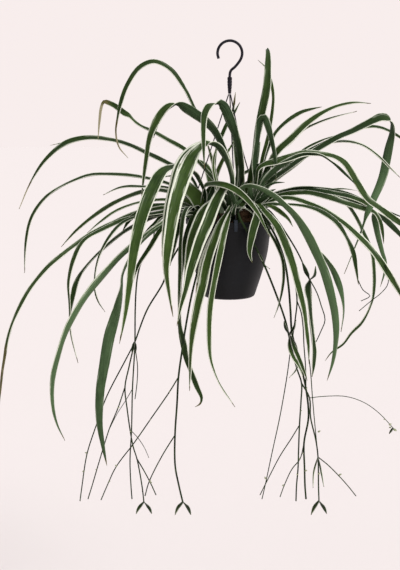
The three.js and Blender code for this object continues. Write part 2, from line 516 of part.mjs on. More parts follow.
      { azimuth: 84, long: 270, rise: 40, fall: -76, wide: 18 },
      { azimuth: 68, long: 210, rise: 38, fall: -72, wide: 16 },
      { azimuth: 54, long: 150, rise: 34, fall: -64, wide: 13 },
      { azimuth: 96, long: 200, rise: 30, fall: -74, wide: 15 },
      { azimuth: 76, long: 120, rise: 46, fall: -50, wide: 11 },
    ],
  },
};

// Runners: thin stems, each a line of points with a radius at its start and end, and the branches that leave it
const runners = {
  runner_left_outer: {
    at: [-36, -44],
    stems: [
      { thick: [1.5, 1.1], line: [[202, 214, 58], [194, 221.5, 66], [184, 238, 62], [170, 262, 70], [163, 282, 77],
        [147, 309, 82], [134.5, 342, 84]] },
      { thick: [1, 0.8], line: [[134.5, 342, 84], [125, 360, 86], [106, 397, 90], [96, 425, 92], [87, 453, 93],
        [82, 485, 94], [80, 500, 94]] },
      { thick: [1.1, 1], line: [[134.5, 342, 84], [129, 366, 82], [125, 386, 81], [127, 407, 80], [133, 445, 80],
        [137, 458, 80], [142, 485, 80], [144, 502, 80]] },
      { thick: [0.9, 0.8], line: [[125, 386, 81], [118, 407, 83], [110, 426, 85], [106, 438, 86], [97, 468, 88],
        [92, 485, 89], [88, 498, 89]] },
      { thick: [0.9, 0.8], line: [[137, 458, 80], [143, 468, 78], [151, 483, 76], [156, 494, 75]] },
    ],
  },
  runner_left_main: {
    at: [-14, -46],
    stems: [
      { thick: [1.6, 1.3], line: [[213, 205, 58], [206, 232, 74], [199, 264, 80], [191, 297, 84], [185, 330, 85],
        [182, 350, 86], [178.5, 376, 86], [177, 403, 86], [175, 434, 86], [175.2, 465, 86], [179, 485, 86],
        [183, 502, 86]] },
      { thick: [1, 0.8], line: [[178.5, 376, 86], [170, 390, 89], [150, 419, 92], [134, 442, 94], [116, 466, 96],
        [107, 485, 97], [101, 499, 97]] },
      { thick: [0.9, 0.8], line: [[175, 434, 86], [162, 455, 83], [149, 481, 81], [145, 495, 80]] },
    ],
  },
  runner_right_front: {
    at: [12, -50],
    stems: [
      { thick: [1.7, 1.4], line: [[237.5, 209, 57], [238.5, 213, 62], [240.5, 218.5, 68], [245, 226.5, 67],
        [256, 247, 65], [266, 268, 70], [279, 301, 77], [286, 322, 83], [291, 345, 88]] },
      { thick: [1.2, 1], line: [[291, 345, 88], [297, 368, 88], [301.5, 382, 88], [301, 400, 88], [299.5, 424, 88],
        [298.5, 452, 88], [298, 468, 88], [296.5, 485, 88], [296, 500, 88]] },
      { thick: [1.1, 1], line: [[301.5, 382, 88], [309.5, 397, 89], [310.5, 416, 90], [316, 440, 91], [318, 456, 92],
        [318.5, 485, 93], [319, 501, 93]] },
      { thick: [0.8, 0.7], line: [[318, 456, 92], [328, 464, 92], [339, 475, 92], [348, 485, 92], [356, 495, 92]] },
      { thick: [0.8, 0.7], line: [[299.5, 424, 88], [291, 438, 85], [280, 455, 83], [266, 482, 81], [260, 494, 80]] },
      { thick: [0.8, 0.7], line: [[291, 345, 88], [287, 375, 90], [280, 415, 94], [272, 452, 96], [265, 485, 97],
        [262, 498, 97]] },
      { thick: [0.8, 0.7], line: [[309.5, 397, 89], [322, 395.5, 92], [346, 395.5, 98], [365, 402, 102],
        [380, 413, 105], [394, 428, 107]] },
    ],
  },
};

const stemSides = 4;

function stemSolid(points, [from, to]) {
  const along = directions(points);
  const share = shares(points);
  const rings = points.map((point, i) => {
    const across = new THREE.Vector3(0, -1, 0).addScaledVector(along[i], along[i].y).normalize();
    const other = new THREE.Vector3().crossVectors(along[i], across);
    const radius = from + (to - from) * share[i];
    return Array.from({ length: stemSides }, (unused, k) => {
      const turn = 2 * Math.PI * k / stemSides;
      return point.clone()
        .addScaledVector(across, radius * Math.cos(turn))
        .addScaledVector(other, radius * Math.sin(turn));
    });
  });
  const end = points[points.length - 1].clone().addScaledVector(along[along.length - 1], to);
  return skin(rings, end);
}

// A young plant on a runner: blades that leave one point
const plantlets = {
  right: [
    { at: [309.5, 279, 79], blades: [
      { wide: 10, line: [[307.5, 290, 80, 6.5], [309, 305, 81, 2.5], [311, 320, 82, 2.5], [313, 337, 82, 3.5],
        [314, 351, 82, 4.5], [313.3, 363, 82, 3.2], [312, 376, 81]] },
      { wide: 6, line: [[314.5, 275, 82, 2.5], [315.5, 265, 84]] },
    ] },
  ],
  runner_right_front: [
    { at: [289.5, 334, 87.5], blades: [
      { wide: 8, line: [[293, 344, 90, 3.5], [299, 358, 93, 4], [304, 370, 94, 3], [307.5, 380, 94]] },
      { wide: 7, line: [[285.5, 327, 90, 2.5], [284, 320, 92]] },
      { wide: 7, line: [[294, 327, 84, 2.5], [296, 319, 82]] },
    ] },
    { at: [318, 456, 92], blades: [
      { wide: 5, line: [[314.5, 471, 94, 2], [313, 487, 94]] },
      { wide: 5, line: [[321, 470, 90, 2], [324, 486, 90]] },
    ] },
    { at: [393, 427, 107], blades: [
      { wide: 4, line: [[391, 430, 108, 2], [389, 433, 109]] },
    ] },
    { at: [319, 500, 93], blades: [
      { wide: 7, line: [[314, 507, 96, 3], [311, 514, 97]] },
      { wide: 7, line: [[324, 507, 90, 3], [327, 513, 89]] },
    ] },
  ],
  runner_left_outer: [
    { at: [134.5, 341, 84], blades: [
      { wide: 6, line: [[131.5, 347, 86, 2.5], [130, 354, 87]] },
      { wide: 5, line: [[137.5, 347, 82, 2], [139, 353, 81]] },
    ] },
    { at: [144, 501, 80], blades: [
      { wide: 7, line: [[139, 507, 83, 3], [136, 513, 84]] },
      { wide: 7, line: [[149, 507, 77, 3], [152, 513, 76]] },
    ] },
  ],
  runner_left_main: [
    { at: [183, 501, 86], blades: [
      { wide: 8, line: [[178, 507, 90, 3], [175, 514, 91]] },
      { wide: 8, line: [[188, 507, 82, 3], [191, 514, 81]] },
    ] },
  ],
};

function plantletSolids(name) {
  return (plantlets[name] ?? []).flatMap(({ at, blades }) => {
    const root = seen(...at);
    return blades.map((blade) => leafSolid(root, blade));
  });
}

// Soil height at a place in the pot
function soilAt(x, y) {
  const out = Math.hypot(x, y) / (rimRadius - wall);
  return rimTop + soilMound - (soilMound - soilEdge) * out * out;
}

function crownSolid(x, y, z, radius, sink, rise) {
  const profile = [[0, -sink], [radius, -sink], [radius, 0], [radius * 0.7, rise], [0, rise]];
  const geometry = new THREE.LatheGeometry(profile.map(([r, h]) => new THREE.Vector2(r, h)), 10);
  geometry.rotateX(Math.PI / 2);
  geometry.translate(x, y, z);
  return solidFrom(geometry);
}

function holeSolid(x, y, z, radius, depth) {
  const geometry = new THREE.CylinderGeometry(radius, radius, depth + 60, 10);
  geometry.rotateX(Math.PI / 2);
  geometry.translate(x, y, z - depth + (depth + 60) / 2);
  return solidFrom(geometry);
}

const holes = [];

function rosetteSolids(name, rosette) {
  const [x, y] = rosette.at;
  const z = soilAt(x, y);
  const root = new THREE.Vector3(x, y, z - 2);
  holes.push([x, y, z, crownRadius + gap + 0.3, crownSink + gap]);
  const solids = [crownSolid(x, y, z, crownRadius, crownSink, crownRise)];
  rosette.leaves.forEach((leaf) => solids.push(leafSolid(root, leaf)));
  rosette.arches.forEach((arch) => solids.push(archSolid(root, arch)));
  (rosette.stems ?? []).forEach((stem) => {
    const points = stem.line.map((row) => seen(...row));
    solids.push(stemSolid(stem.rooted ? [root, ...points] : points, stem.thick));
  });
  return [...solids, ...plantletSolids(name)];
}

const runnerSink = 10;

function runnerSolids(name, runner) {
  const [x, y] = runner.at;
  const z = soilAt(x, y);
  holes.push([x, y, z, 2.4, runnerSink + gap]);
  const solids = runner.stems.map((stem, i) => {
    const points = stem.line.map((row) => seen(...row));
    if (i === 0) {
      points.unshift(new THREE.Vector3(x, y, z + 8));
      points.unshift(new THREE.Vector3(x, y, z - runnerSink));
    }
    return stemSolid(points, stem.thick);
  });
  return [...solids, ...plantletSolids(name)];
}

const leafGreen = new THREE.MeshStandardMaterial({ color: 0x4a6b34, roughness: 0.5, metalness: 0 });
const stemGreen = new THREE.MeshStandardMaterial({ color: 0x59663c, roughness: 0.6, metalness: 0 });
const charcoal = new THREE.MeshStandardMaterial({ color: 0x26272a, roughness: 0.55, metalness: 0 });
const coir = new THREE.MeshStandardMaterial({ color: 0x4a2a1c, roughness: 0.95, metalness: 0 });
const darkWire = new THREE.MeshStandardMaterial({ color: 0x2c2833, roughness: 0.5, metalness: 0.3 });
const paleClip = new THREE.MeshStandardMaterial({ color: 0x8d959f, roughness: 0.5, metalness: 0 });

const plant = new THREE.Group();

function addNode(name, solid, material) {
  const mesh = new THREE.Mesh(geometryFrom(solid), material);
  mesh.name = name;
  plant.add(mesh);
}

// Pot: a closed section turned round the axis, less its drain holes

const potSide = [[rimRadius - 2.2, -rimBand - 0.8], [61, -29], [58.5, -50], [54.2, -68.5], [48.6, -88], [40, -115]];

function potProfile() {
  const outside = [[rimRadius - 0.8, 0], [rimRadius, -0.8], [rimRadius, -rimBand], ...potSide, [baseRadius, -potHeight]];
  const inside = potSide.map(([r, h]) => [r - wall, h]).reverse();
  inside[0] = [inside[0][0] - 1.5, -potHeight + wall];
  return [[0, -potHeight], ...outside.reverse(), [rimRadius - wall - 0.8, 0], ...inside.reverse(), [0, -potHeight + wall]];
}

const potGeometry = new THREE.LatheGeometry(potProfile().map(([r, h]) => new THREE.Vector2(r, h)), potSegments);
potGeometry.rotateX(Math.PI / 2);
potGeometry.translate(0, 0, rimTop);
let pot = solidFrom(potGeometry);
for (let k = 0; k < 4; k += 1) {
  const turn = Math.PI / 4 + k * Math.PI / 2;
  const drain = new THREE.CylinderGeometry(drainHole, drainHole, 3 * wall, 10);
  drain.rotateX(Math.PI / 2);
  drain.translate(drainRing * Math.cos(turn), drainRing * Math.sin(turn), rimTop - potHeight + wall / 2);
  pot = pot.subtract(solidFrom(drain));
}
addNode('pot', pot, charcoal);

// Rosettes and runners

Object.entries(rosettes).forEach(([name, rosette]) => {
  addNode(`rosette_${name}`, outerSkin(join(rosetteSolids(name, rosette))), leafGreen);
});

Object.entries(runners).forEach(([name, runner]) => {
  addNode(name, outerSkin(join(runnerSolids(name, runner))), stemGreen);
});

// Soil: fills the pot's inside, mounded at the middle, with a plain hole for each crown and runner

function soilProfile() {
  const side = potSide.map(([r, h]) => [r - wall - gap, h]);
  const bottom = [[0, -potHeight + wall + gap], [side[side.length - 1][0] - 1.6, -potHeight + wall + gap]];
  const lower = side.slice(1, -1).reverse();
  const top = [1, 0.66, 0.33, 0].map((out) => {
    const radius = (rimRadius - wall - gap - 2.2) * out;
    return [radius, soilAt(radius, 0) - rimTop];
  });
  return [...bottom, ...lower, ...top];
}

const soilGeometry = new THREE.LatheGeometry(soilProfile().map(([r, h]) => new THREE.Vector2(r, h)), potSegments);
soilGeometry.rotateX(Math.PI / 2);
soilGeometry.translate(0, 0, rimTop);
let soil = solidFrom(soilGeometry);
holes.forEach((hole) => {
  soil = soil.subtract(holeSolid(...hole));
});
addNode('soil', soil, coir);

// Hanger

function tubeSolid(points, diameter, steps, sides) {
  const section = new THREE.Shape();
  for (let k = 0; k < sides; k += 1) {
    const turn = 2 * Math.PI * k / sides;
    const [x, y] = [diameter / 2 * Math.cos(turn), diameter / 2 * Math.sin(turn)];
    if (k === 0) {
      section.moveTo(x, y);
    } else {
      section.lineTo(x, y);
    }
  }
  section.closePath();
  const path = new THREE.CatmullRomCurve3(points, false, 'centripetal');
  return solidFrom(new THREE.ExtrudeGeometry(section, { extrudePath: path, steps, bevelEnabled: false }));
}

const hookMiddle = -hookRadius;
const bend = hookRadius + hookWire / 2;
const hookPoints = [];
for (let degrees = 205; degrees >= -30; degrees -= 23.5) {
  const turn = THREE.MathUtils.degToRad(degrees);
  hookPoints.push(new THREE.Vector3(bend * Math.cos(turn), 0, hookMiddle + bend * Math.sin(turn)));
}
hookPoints.push(new THREE.Vector3(8, 0, -35), new THREE.Vector3(1.5, 0, -41), new THREE.Vector3(0, 0, -48));
hookPoints.push(new THREE.Vector3(0, 0, -60), new THREE.Vector3(0, 0, shankBottom));
addNode('hanger_hook', tubeSolid(hookPoints, hookWire, 34, 8), darkWire);

const collarBore = hookWire / 2 + gap;
const collarProfile = [[collarBore, collarBottom], [collarRadius, collarBottom], [collarRadius, collarTop],
  [collarBore, collarTop], [collarBore, collarBottom]];
const collarGeometry = new THREE.LatheGeometry(collarProfile.map(([r, h]) => new THREE.Vector2(r, h)), 12);
collarGeometry.rotateX(Math.PI / 2);
addNode('hanger_collar', solidFrom(collarGeometry), darkWire);

// Each wire ends in the top of its clip, which folds over the rim

const clipWide = 5;
const clipDrop = 15;
const clipThick = 1.8;

Object.entries(wireAzimuths).forEach(([name, azimuth]) => {
  const turn = THREE.MathUtils.degToRad(azimuth);
  const out = new THREE.Vector3(Math.cos(turn), Math.sin(turn), 0);
  const middle = rimRadius - wall / 2 - 0.4;
  const seat = rimTop + gap;
  const section = new THREE.Shape();
  const inner = rimRadius - wall - 0.8 - gap - 1.2 - middle;
  const outer = rimRadius + gap - middle;
  section.moveTo(inner - clipThick, 1.8 + clipThick);
  section.lineTo(outer + clipThick, 1.8 + clipThick);
  section.lineTo(outer + clipThick, -clipDrop);
  section.lineTo(outer, -clipDrop);
  section.lineTo(outer, 0);
  section.lineTo(inner, 0);
  section.lineTo(inner, -5.5);
  section.lineTo(inner - clipThick, -5.5);
  section.closePath();
  const clip = new THREE.ExtrudeGeometry(section, { depth: clipWide, bevelEnabled: false });
  clip.translate(0, 0, -clipWide / 2);
  clip.rotateX(Math.PI / 2);
  clip.rotateZ(turn);
  clip.translate(out.x * middle, out.y * middle, seat);
  addNode(`rim_clip_${name}`, solidFrom(clip), paleClip);
  const top = out.clone().multiplyScalar(1.6).setZ(collarBottom - gap - 0.5);
  const foot = out.clone().multiplyScalar(middle).setZ(seat + 1.8 + clipThick + gap + 0.3);
  const half = top.clone().lerp(foot, 0.5).addScaledVector(out, 2);
  addNode(`hanger_wire_${name}`, tubeSolid([top, half, foot], wireDiameter, 8, 6), darkWire);
});

export default plant;
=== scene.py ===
# Variegated spider plant in a hanging pot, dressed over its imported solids. Shapes are in millimetres, and
# the stage and the depths of the finishes are in metres.
import math
import random

import bpy
from mathutils import Matrix, Vector, noise


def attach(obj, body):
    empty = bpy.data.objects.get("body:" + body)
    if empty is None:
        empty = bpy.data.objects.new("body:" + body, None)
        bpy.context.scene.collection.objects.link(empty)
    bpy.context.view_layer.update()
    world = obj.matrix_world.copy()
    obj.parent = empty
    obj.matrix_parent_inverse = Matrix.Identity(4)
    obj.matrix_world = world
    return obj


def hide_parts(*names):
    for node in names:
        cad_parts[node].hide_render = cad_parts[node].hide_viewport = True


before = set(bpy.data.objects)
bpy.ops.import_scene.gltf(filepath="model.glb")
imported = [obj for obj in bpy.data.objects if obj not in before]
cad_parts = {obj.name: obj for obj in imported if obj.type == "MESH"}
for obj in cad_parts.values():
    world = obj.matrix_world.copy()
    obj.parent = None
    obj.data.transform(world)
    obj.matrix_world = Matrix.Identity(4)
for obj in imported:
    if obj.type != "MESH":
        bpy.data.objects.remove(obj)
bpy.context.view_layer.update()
bpy.ops.object.select_all(action="DESELECT")
scene = bpy.context.scene
mm = 0.001  # in metres

# Camera: 1.5 mm a pixel at the pot's axis, seen from a little above
picture = {
    "rise": 10,  # degrees
    "distance": 1500,
    "across": 400,
    "focalPixels": 1000,
    "centre": (200, 285),
    "rimAt": (229, 217),  # the pixel where the rim's middle is
    "rimTop": -257,
    "lowered": 1,  # pixels that the view is moved down
}

rise = math.radians(picture["rise"])
sight = Vector((0, math.cos(rise), -math.sin(rise)))
frameUp = Vector((0, math.sin(rise), math.cos(rise)))
frameRight = Vector((1, 0, 0))


def sightThrough(px, py):
    right = (px - picture["centre"][0]) / picture["focalPixels"]
    up = (picture["centre"][1] - py) / picture["focalPixels"]
    return sight + right * frameRight + up * frameUp


eye = Vector((0, 0, picture["rimTop"])) - picture["distance"] * sightThrough(*picture["rimAt"])


def seen(px, py, towards):  # the point at a pixel that stands so far in front of the pot's axis
    line = sightThrough(px, py)
    return eye + line * ((-towards - eye.y) / line.y)


bpy.ops.object.camera_add(location=eye * mm, rotation=(math.pi / 2 - rise, 0, 0))
camera = bpy.context.object
camera.name = "pictureCamera"
camera.data.sensor_fit = "HORIZONTAL"
camera.data.lens = camera.data.sensor_width * picture["focalPixels"] / picture["across"]
camera.data.shift_y = picture["lowered"] / picture["across"]
camera.data.clip_end = 100
scene.camera = camera
scene.view_settings.view_transform = "Standard"
print("camera ready")


# Stage: a pale floor far below the plant, soft light from above and a broad sun from the front right

stageLook = {
    "floorHeight": -1.02,
    "floorRadius": 24,
    "floorColour": (0.828, 0.755, 0.744, 1),
    "backColour": (0.94, 0.853, 0.843, 1),
    "skyAbove": (0.9, 0.9, 0.9, 1),
    "skyLevel": (0.4, 0.4, 0.42, 1),
    "skyStrength": 1.0,
    "skyTurn": 0.8,  # where the sky has its upper colour
    "speckle": 3.0,
    "speckleLift": 1.01,
    "sunStrength": 1.7,
    "sunTurn": (52, 0, 55),
    "sunSoftness": 30,
}


def addNode(tree, kind, inputs=None, **settings):
    node = tree.nodes.new(kind)
    for name, value in settings.items():
        setattr(node, name, value)
    for name, value in (inputs or {}).items():
        if isinstance(value, bpy.types.NodeSocket):
            tree.links.new(value, node.inputs[name])
        else:
            node.inputs[name].default_value = value
    return node


def calc(tree, operation, a, b=0.0):
    return addNode(tree, "ShaderNodeMath", {0: a, 1: b}, operation=operation).outputs[0]


def times(tree, a, b):
    return calc(tree, "MULTIPLY", a, b)


def plus(tree, a, b):
    return calc(tree, "ADD", a, b)


def minus(tree, a, b):
    return calc(tree, "SUBTRACT", a, b)


def ramp(tree, value, low, high, start=0.0, end=1.0):
    inputs = {"Value": value, "From Min": low, "From Max": high, "To Min": start, "To Max": end}
    return addNode(tree, "ShaderNodeMapRange", inputs, interpolation_type="SMOOTHSTEP").outputs[0]


def blend(tree, share, first, second):
    return addNode(tree, "ShaderNodeMix", {0: share, 6: first, 7: second}, data_type="RGBA").outputs[2]


def noiseAt(tree, place, scale, detail=2.0):
    inputs = {"Vector": place, "Scale": scale, "Detail": detail}
    return addNode(tree, "ShaderNodeTexNoise", inputs).outputs[0]


def newMaterial(name):
    material = bpy.data.materials.new(name)
    material.use_nodes = True
    return material, material.node_tree, material.node_tree.nodes["Principled BSDF"]


def setStage():
    world = bpy.data.worlds.new("softSky")
    scene.world = world
    world.use_nodes = True
    tree = world.node_tree
    tree.nodes.clear()
    place = addNode(tree, "ShaderNodeTexCoord").outputs["Generated"]
    height = addNode(tree, "ShaderNodeSeparateXYZ", {0: place}).outputs[2]
    climb = ramp(tree, height, 0.0, stageLook["skyTurn"])
    sky = blend(tree, climb, stageLook["skyLevel"], stageLook["skyAbove"])
    seenByCamera = addNode(tree, "ShaderNodeLightPath").outputs["Is Camera Ray"]
    colour = blend(tree, seenByCamera, sky, stageLook["backColour"])
    shine = addNode(tree, "ShaderNodeBackground", {"Color": colour, "Strength": stageLook["skyStrength"]})
    tree.links.new(shine.outputs[0], addNode(tree, "ShaderNodeOutputWorld").inputs[0])

    turn = [math.radians(angle) for angle in stageLook["sunTurn"]]
    bpy.ops.object.light_add(type="SUN", location=(1, -1, 2), rotation=turn)
    sun = bpy.context.object
    sun.name = "softSun"
    sun.data.energy = stageLook["sunStrength"]
    sun.data.angle = math.radians(stageLook["sunSoftness"])

    bpy.ops.mesh.primitive_circle_add(vertices=96, radius=stageLook["floorRadius"], fill_type="NGON",
                                      location=(0, 0, stageLook["floorHeight"]))
    floor = bpy.context.object
    floor.name = "floor"
    material, tree, shader = newMaterial("paleFloor")
    place = addNode(tree, "ShaderNodeTexCoord").outputs["Object"]
    speckle = noiseAt(tree, place, stageLook["speckle"])
    paler = tuple(min(1, stageLook["speckleLift"] * part) for part in stageLook["floorColour"][:3]) + (1,)
    tree.links.new(blend(tree, speckle, stageLook["floorColour"], paler), shader.inputs["Base Color"])
    shader.inputs["Roughness"].default_value = 1
    shader.inputs["Specular IOR Level"].default_value = 0
    floor.data.materials.append(material)


setStage()
print("stage ready")


# Finishes

def groupWith(name, inputs, outputs):
    group = bpy.data.node_groups.new(name, "ShaderNodeTree")
    for socket, kind, value in inputs:
        made = group.interface.new_socket(socket, in_out="INPUT", socket_type=kind)
        made.default_value = value
    for socket, kind in outputs:
        group.interface.new_socket(socket, in_out="OUTPUT", socket_type=kind)
    return group, group.nodes.new("NodeGroupInput").outputs, group.nodes.new("NodeGroupOutput").inputs


bladeLook = {
    "palestCream": (0.88, 0.89, 0.76, 1),
    "darkBrown": (0.07, 0.06, 0.02, 1),
    "brown": (0.15, 0.135, 0.05, 1),
    "straw": (0.42, 0.38, 0.24, 1),
    # painted shade at the blades' feet: its colour, how dark it gets and how far up each blade it reaches
    "footShade": (0.006, 0.01, 0.004, 1),
    "footShadeDepth": 0.75,
    "footShadeReach": 0.3,
    "marginBlur": 0.035,
    "streakWidth": 0.45,  # how far pale streaks reach inwards from the margin
    "streakShare": 0.45,
}


def makeBladePattern():  # green middle, cream margins, fine veins, dry ends and painted shade at the foot, along a blade's own map
    number, colour = "NodeSocketFloat", "NodeSocketColor"
    group, given, out = groupWith("bladePattern", [
        ("Across", number, 0.5), ("Along", number, 0.0), ("Margin", number, 0.24), ("Dryness", number, 0.0),
        ("Tone", number, 0.5), ("Seed", number, 0.0), ("Deep Green", colour, (0.03, 0.06, 0.02, 1)),
        ("Fresh Green", colour, (0.09, 0.17, 0.04, 1)), ("Cream", colour, (0.7, 0.72, 0.5, 1)),
    ], [("Colour", colour), ("Height", number), ("Roughness", number)])
    edge = calc(group, "ABSOLUTE", minus(group, times(group, given["Across"], 2), 1))
    shift = times(group, given["Seed"], 23)

    def streaks(acrossScale, alongScale, detail=2.0):
        parts = {0: times(group, given["Across"], acrossScale),
                 1: times(group, given["Along"], alongScale), 2: shift}
        place = addNode(group, "ShaderNodeCombineXYZ", parts).outputs[0]
        return noiseAt(group, place, 1.0, detail)

    veins = streaks(34, 6)
    bands = streaks(7, 3)
    patches = streaks(1.2, 9)
    wobble = plus(group, times(group, streaks(0.5, 26), 0.12), times(group, veins, 0.1))
    reach = plus(group, edge, minus(group, wobble, 0.11))
    border = minus(group, 1, given["Margin"])
    blur = bladeLook["marginBlur"]
    margin = ramp(group, reach, minus(group, border, blur), plus(group, border, blur))
    nearMargin = ramp(group, edge, minus(group, border, bladeLook["streakWidth"]), border)
    streak = times(group, ramp(group, bands, 0.56, 0.64), nearMargin)
    pale = calc(group, "MAXIMUM", margin, times(group, streak, bladeLook["streakShare"]))
    freshness = plus(group, times(group, bands, 0.55), times(group, given["Tone"], 0.75))
    freshness = plus(group, freshness, times(group, patches, 0.35))
    green = blend(group, ramp(group, freshness, 0.35, 1.3), given["Deep Green"], given["Fresh Green"])
    green = blend(group, ramp(group, veins, 0.35, 0.75, 0, 0.3), green, given["Fresh Green"])
    cream = blend(group, ramp(group, veins, 0.35, 0.7), given["Cream"], bladeLook["palestCream"])
    living = blend(group, pale, green, cream)
    ragged = plus(group, given["Dryness"], times(group, minus(group, patches, 0.5), 0.3))
    brown = blend(group, ramp(group, veins, 0.3, 0.7), bladeLook["darkBrown"], bladeLook["brown"])
    dry = blend(group, ramp(group, ragged, 0.55, 0.85), brown, bladeLook["straw"])
    weathered = blend(group, ramp(group, ragged, 0.2, 0.42), living, dry)
    # painted shade: each blade darkens towards its foot, where the crown shades it
    foot = ramp(group, given["Along"], 0.05, bladeLook["footShadeReach"], bladeLook["footShadeDepth"], 0)
    group.links.new(blend(group, foot, weathered, bladeLook["footShade"]), out["Colour"])
    groove = ramp(group, edge, 0.0, 0.14)
    relief = plus(group, times(group, veins, 0.5), times(group, groove, 0.5))
    group.links.new(relief, out["Height"])
    rough = plus(group, ramp(group, patches, 0.3, 0.7, 0.42, 0.56), times(group, pale, 0.08))
    group.links.new(plus(group, rough, times(group, given["Dryness"], 0.3)), out["Roughness"])
    return group


bladePattern = makeBladePattern()


def makeSurfaceGrain():  # mottling, scuffs and grain over an object's own place
    number, colour = "NodeSocketFloat", "NodeSocketColor"
    group, given, out = groupWith("surfaceGrain", [
        ("Place", "NodeSocketVector", (0, 0, 0)), ("Scale", number, 40.0), ("Grain Scale", number, 900.0),
        ("Wear", number, 0.3), ("Base", colour, (0.1, 0.1, 0.1, 1)),
        ("Mottle", colour, (0.15, 0.15, 0.15, 1)), ("Worn", colour, (0.3, 0.3, 0.3, 1)),
        ("Roughness", number, 0.5),
    ], [("Colour", colour), ("Height", number), ("Roughness", number)])
    mottle = noiseAt(group, given["Place"], given["Scale"], 4.0)
    grain = noiseAt(group, given["Place"], given["Grain Scale"], 2.0)
    scuff = noiseAt(group, given["Place"], times(group, given["Scale"], 5.3), 5.0)
    worn = times(group, ramp(group, scuff, 0.6, 0.72), given["Wear"])
    colour = blend(group, ramp(group, mottle, 0.35, 0.65), given["Base"], given["Mottle"])
    group.links.new(blend(group, worn, colour, given["Worn"]), out["Colour"])
    group.links.new(plus(group, times(group, grain, 0.7), times(group, mottle, 0.5)), out["Height"])
    uneven = plus(group, given["Roughness"], ramp(group, mottle, 0.3, 0.7, -0.06, 0.06))
    group.links.new(plus(group, uneven, times(group, worn, 0.2)), out["Roughness"])
    return group


surfaceGrain = makeSurfaceGrain()


def finish(tree, shader, pattern, look):
    tree.links.new(pattern.outputs["Colour"], shader.inputs["Base Color"])
    tree.links.new(pattern.outputs["Roughness"], shader.inputs["Roughness"])
    inputs = {"Height": pattern.outputs["Height"], "Strength": look["bump"], "Distance": look["depth"]}
    tree.links.new(addNode(tree, "ShaderNodeBump", inputs).outputs[0], shader.inputs["Normal"])
    shader.inputs["Specular IOR Level"].default_value = look.get("gloss", 0.5)


def bladeMaterial(name, look):
    material, tree, shader = newMaterial(name)
    ownMap = addNode(tree, "ShaderNodeUVMap", uv_map="bladeMap").outputs[0]
    place = addNode(tree, "ShaderNodeSeparateXYZ", {0: ownMap}).outputs
    ownTraits = addNode(tree, "ShaderNodeAttribute", attribute_name="bladeTraits").outputs
    traits = addNode(tree, "ShaderNodeSeparateColor", {0: ownTraits["Color"]}).outputs
    inputs = {
        "Across": place[0], "Along": place[1], "Seed": ownTraits["Alpha"], "Dryness": traits[1],
        "Margin": times(tree, traits[0], look["marginShare"]),
        "Tone": times(tree, traits[2], look["toneShare"]),
        "Deep Green": look["deep"], "Fresh Green": look["fresh"], "Cream": look["cream"],
    }
    finish(tree, shader, addNode(tree, "ShaderNodeGroup", inputs, node_tree=bladePattern), look)
    return material


leafUpper = bladeMaterial("leafUpper", {
    "deep": (0.01, 0.026, 0.006, 1), "fresh": (0.068, 0.12, 0.024, 1), "cream": (0.7, 0.73, 0.58, 1),
    "marginShare": 1.0, "toneShare": 1.0, "bump": 0.5, "depth": 0.0006, "gloss": 0.1,
})
# the underside: a narrower visible margin, and its cream darkened as painted shade on faces turned from the
# light
leafUnder = bladeMaterial("leafUnder", {
    "deep": (0.012, 0.026, 0.008, 1), "fresh": (0.088, 0.15, 0.065, 1), "cream": (0.36, 0.42, 0.27, 1),
    "marginShare": 0.3, "toneShare": 0.55, "bump": 0.6, "depth": 0.0006, "gloss": 0.1,
})


def grainMaterial(name, look):
    material, tree, shader = newMaterial(name)
    inputs = {socket: value for socket, value in look.items() if socket[0].isupper()}
    inputs["Place"] = addNode(tree, "ShaderNodeTexCoord").outputs["Object"]
    finish(tree, shader, addNode(tree, "ShaderNodeGroup", inputs, node_tree=surfaceGrain), look)
    return material


stemDark = grainMaterial("stemDark", {
    "Scale": 60, "Grain Scale": 1500, "Wear": 0.2, "Base": (0.009, 0.017, 0.006, 1),
    "Mottle": (0.026, 0.046, 0.015, 1), "Worn": (0.1, 0.1, 0.045, 1), "Roughness": 0.55,
    "bump": 0.3, "depth": 0.0003, "gloss": 0.1,
})
stemPale = grainMaterial("stemPale", {
    "Scale": 60, "Grain Scale": 1500, "Wear": 0.5, "Base": (0.07, 0.085, 0.045, 1),
    "Mottle": (0.14, 0.15, 0.09, 1), "Worn": (0.26, 0.24, 0.15, 1), "Roughness": 0.55,
    "bump": 0.3, "depth": 0.0003,
})
budSkin = grainMaterial("budSkin", {
    "Scale": 300, "Grain Scale": 2500, "Wear": 0.4, "Base": (0.2, 0.23, 0.12, 1),
    "Mottle": (0.4, 0.42, 0.26, 1), "Worn": (0.3, 0.2, 0.12, 1), "Roughness": 0.55,
    "bump": 0.2, "depth": 0.0002,
})
crownSheath = grainMaterial("crownSheath", {
    "Scale": 120, "Grain Scale": 700, "Wear": 0.6, "Base": (0.02, 0.03, 0.01, 1),
    "Mottle": (0.05, 0.065, 0.025, 1), "Worn": (0.08, 0.05, 0.025, 1), "Roughness": 0.6,
    "bump": 0.5, "depth": 0.0005, "gloss": 0.15,
})
potPlastic = grainMaterial("potPlastic", {
    "Scale": 26, "Grain Scale": 1100, "Wear": 0.12, "Base": (0.0038, 0.0044, 0.0056, 1),
    "Mottle": (0.0058, 0.0066, 0.0085, 1), "Worn": (0.03, 0.032, 0.038, 1), "Roughness": 0.5,
    "bump": 0.25, "depth": 0.0002, "gloss": 0.2,
})
coirFibre = grainMaterial("coirFibre", {
    "Scale": 150, "Grain Scale": 1600, "Wear": 0.5, "Base": (0.042, 0.02, 0.01, 1),
    "Mottle": (0.12, 0.064, 0.034, 1), "Worn": (0.22, 0.13, 0.075, 1), "Roughness": 0.9,
    "bump": 0.8, "depth": 0.0012, "gloss": 0.2,
})
wireCoat = grainMaterial("wireCoat", {
    "Scale": 90, "Grain Scale": 1300, "Wear": 0.3, "Base": (0.006, 0.005, 0.009, 1),
    "Mottle": (0.013, 0.011, 0.018, 1), "Worn": (0.08, 0.075, 0.09, 1), "Roughness": 0.45,
    "bump": 0.2, "depth": 0.0001, "gloss": 0.2,
})
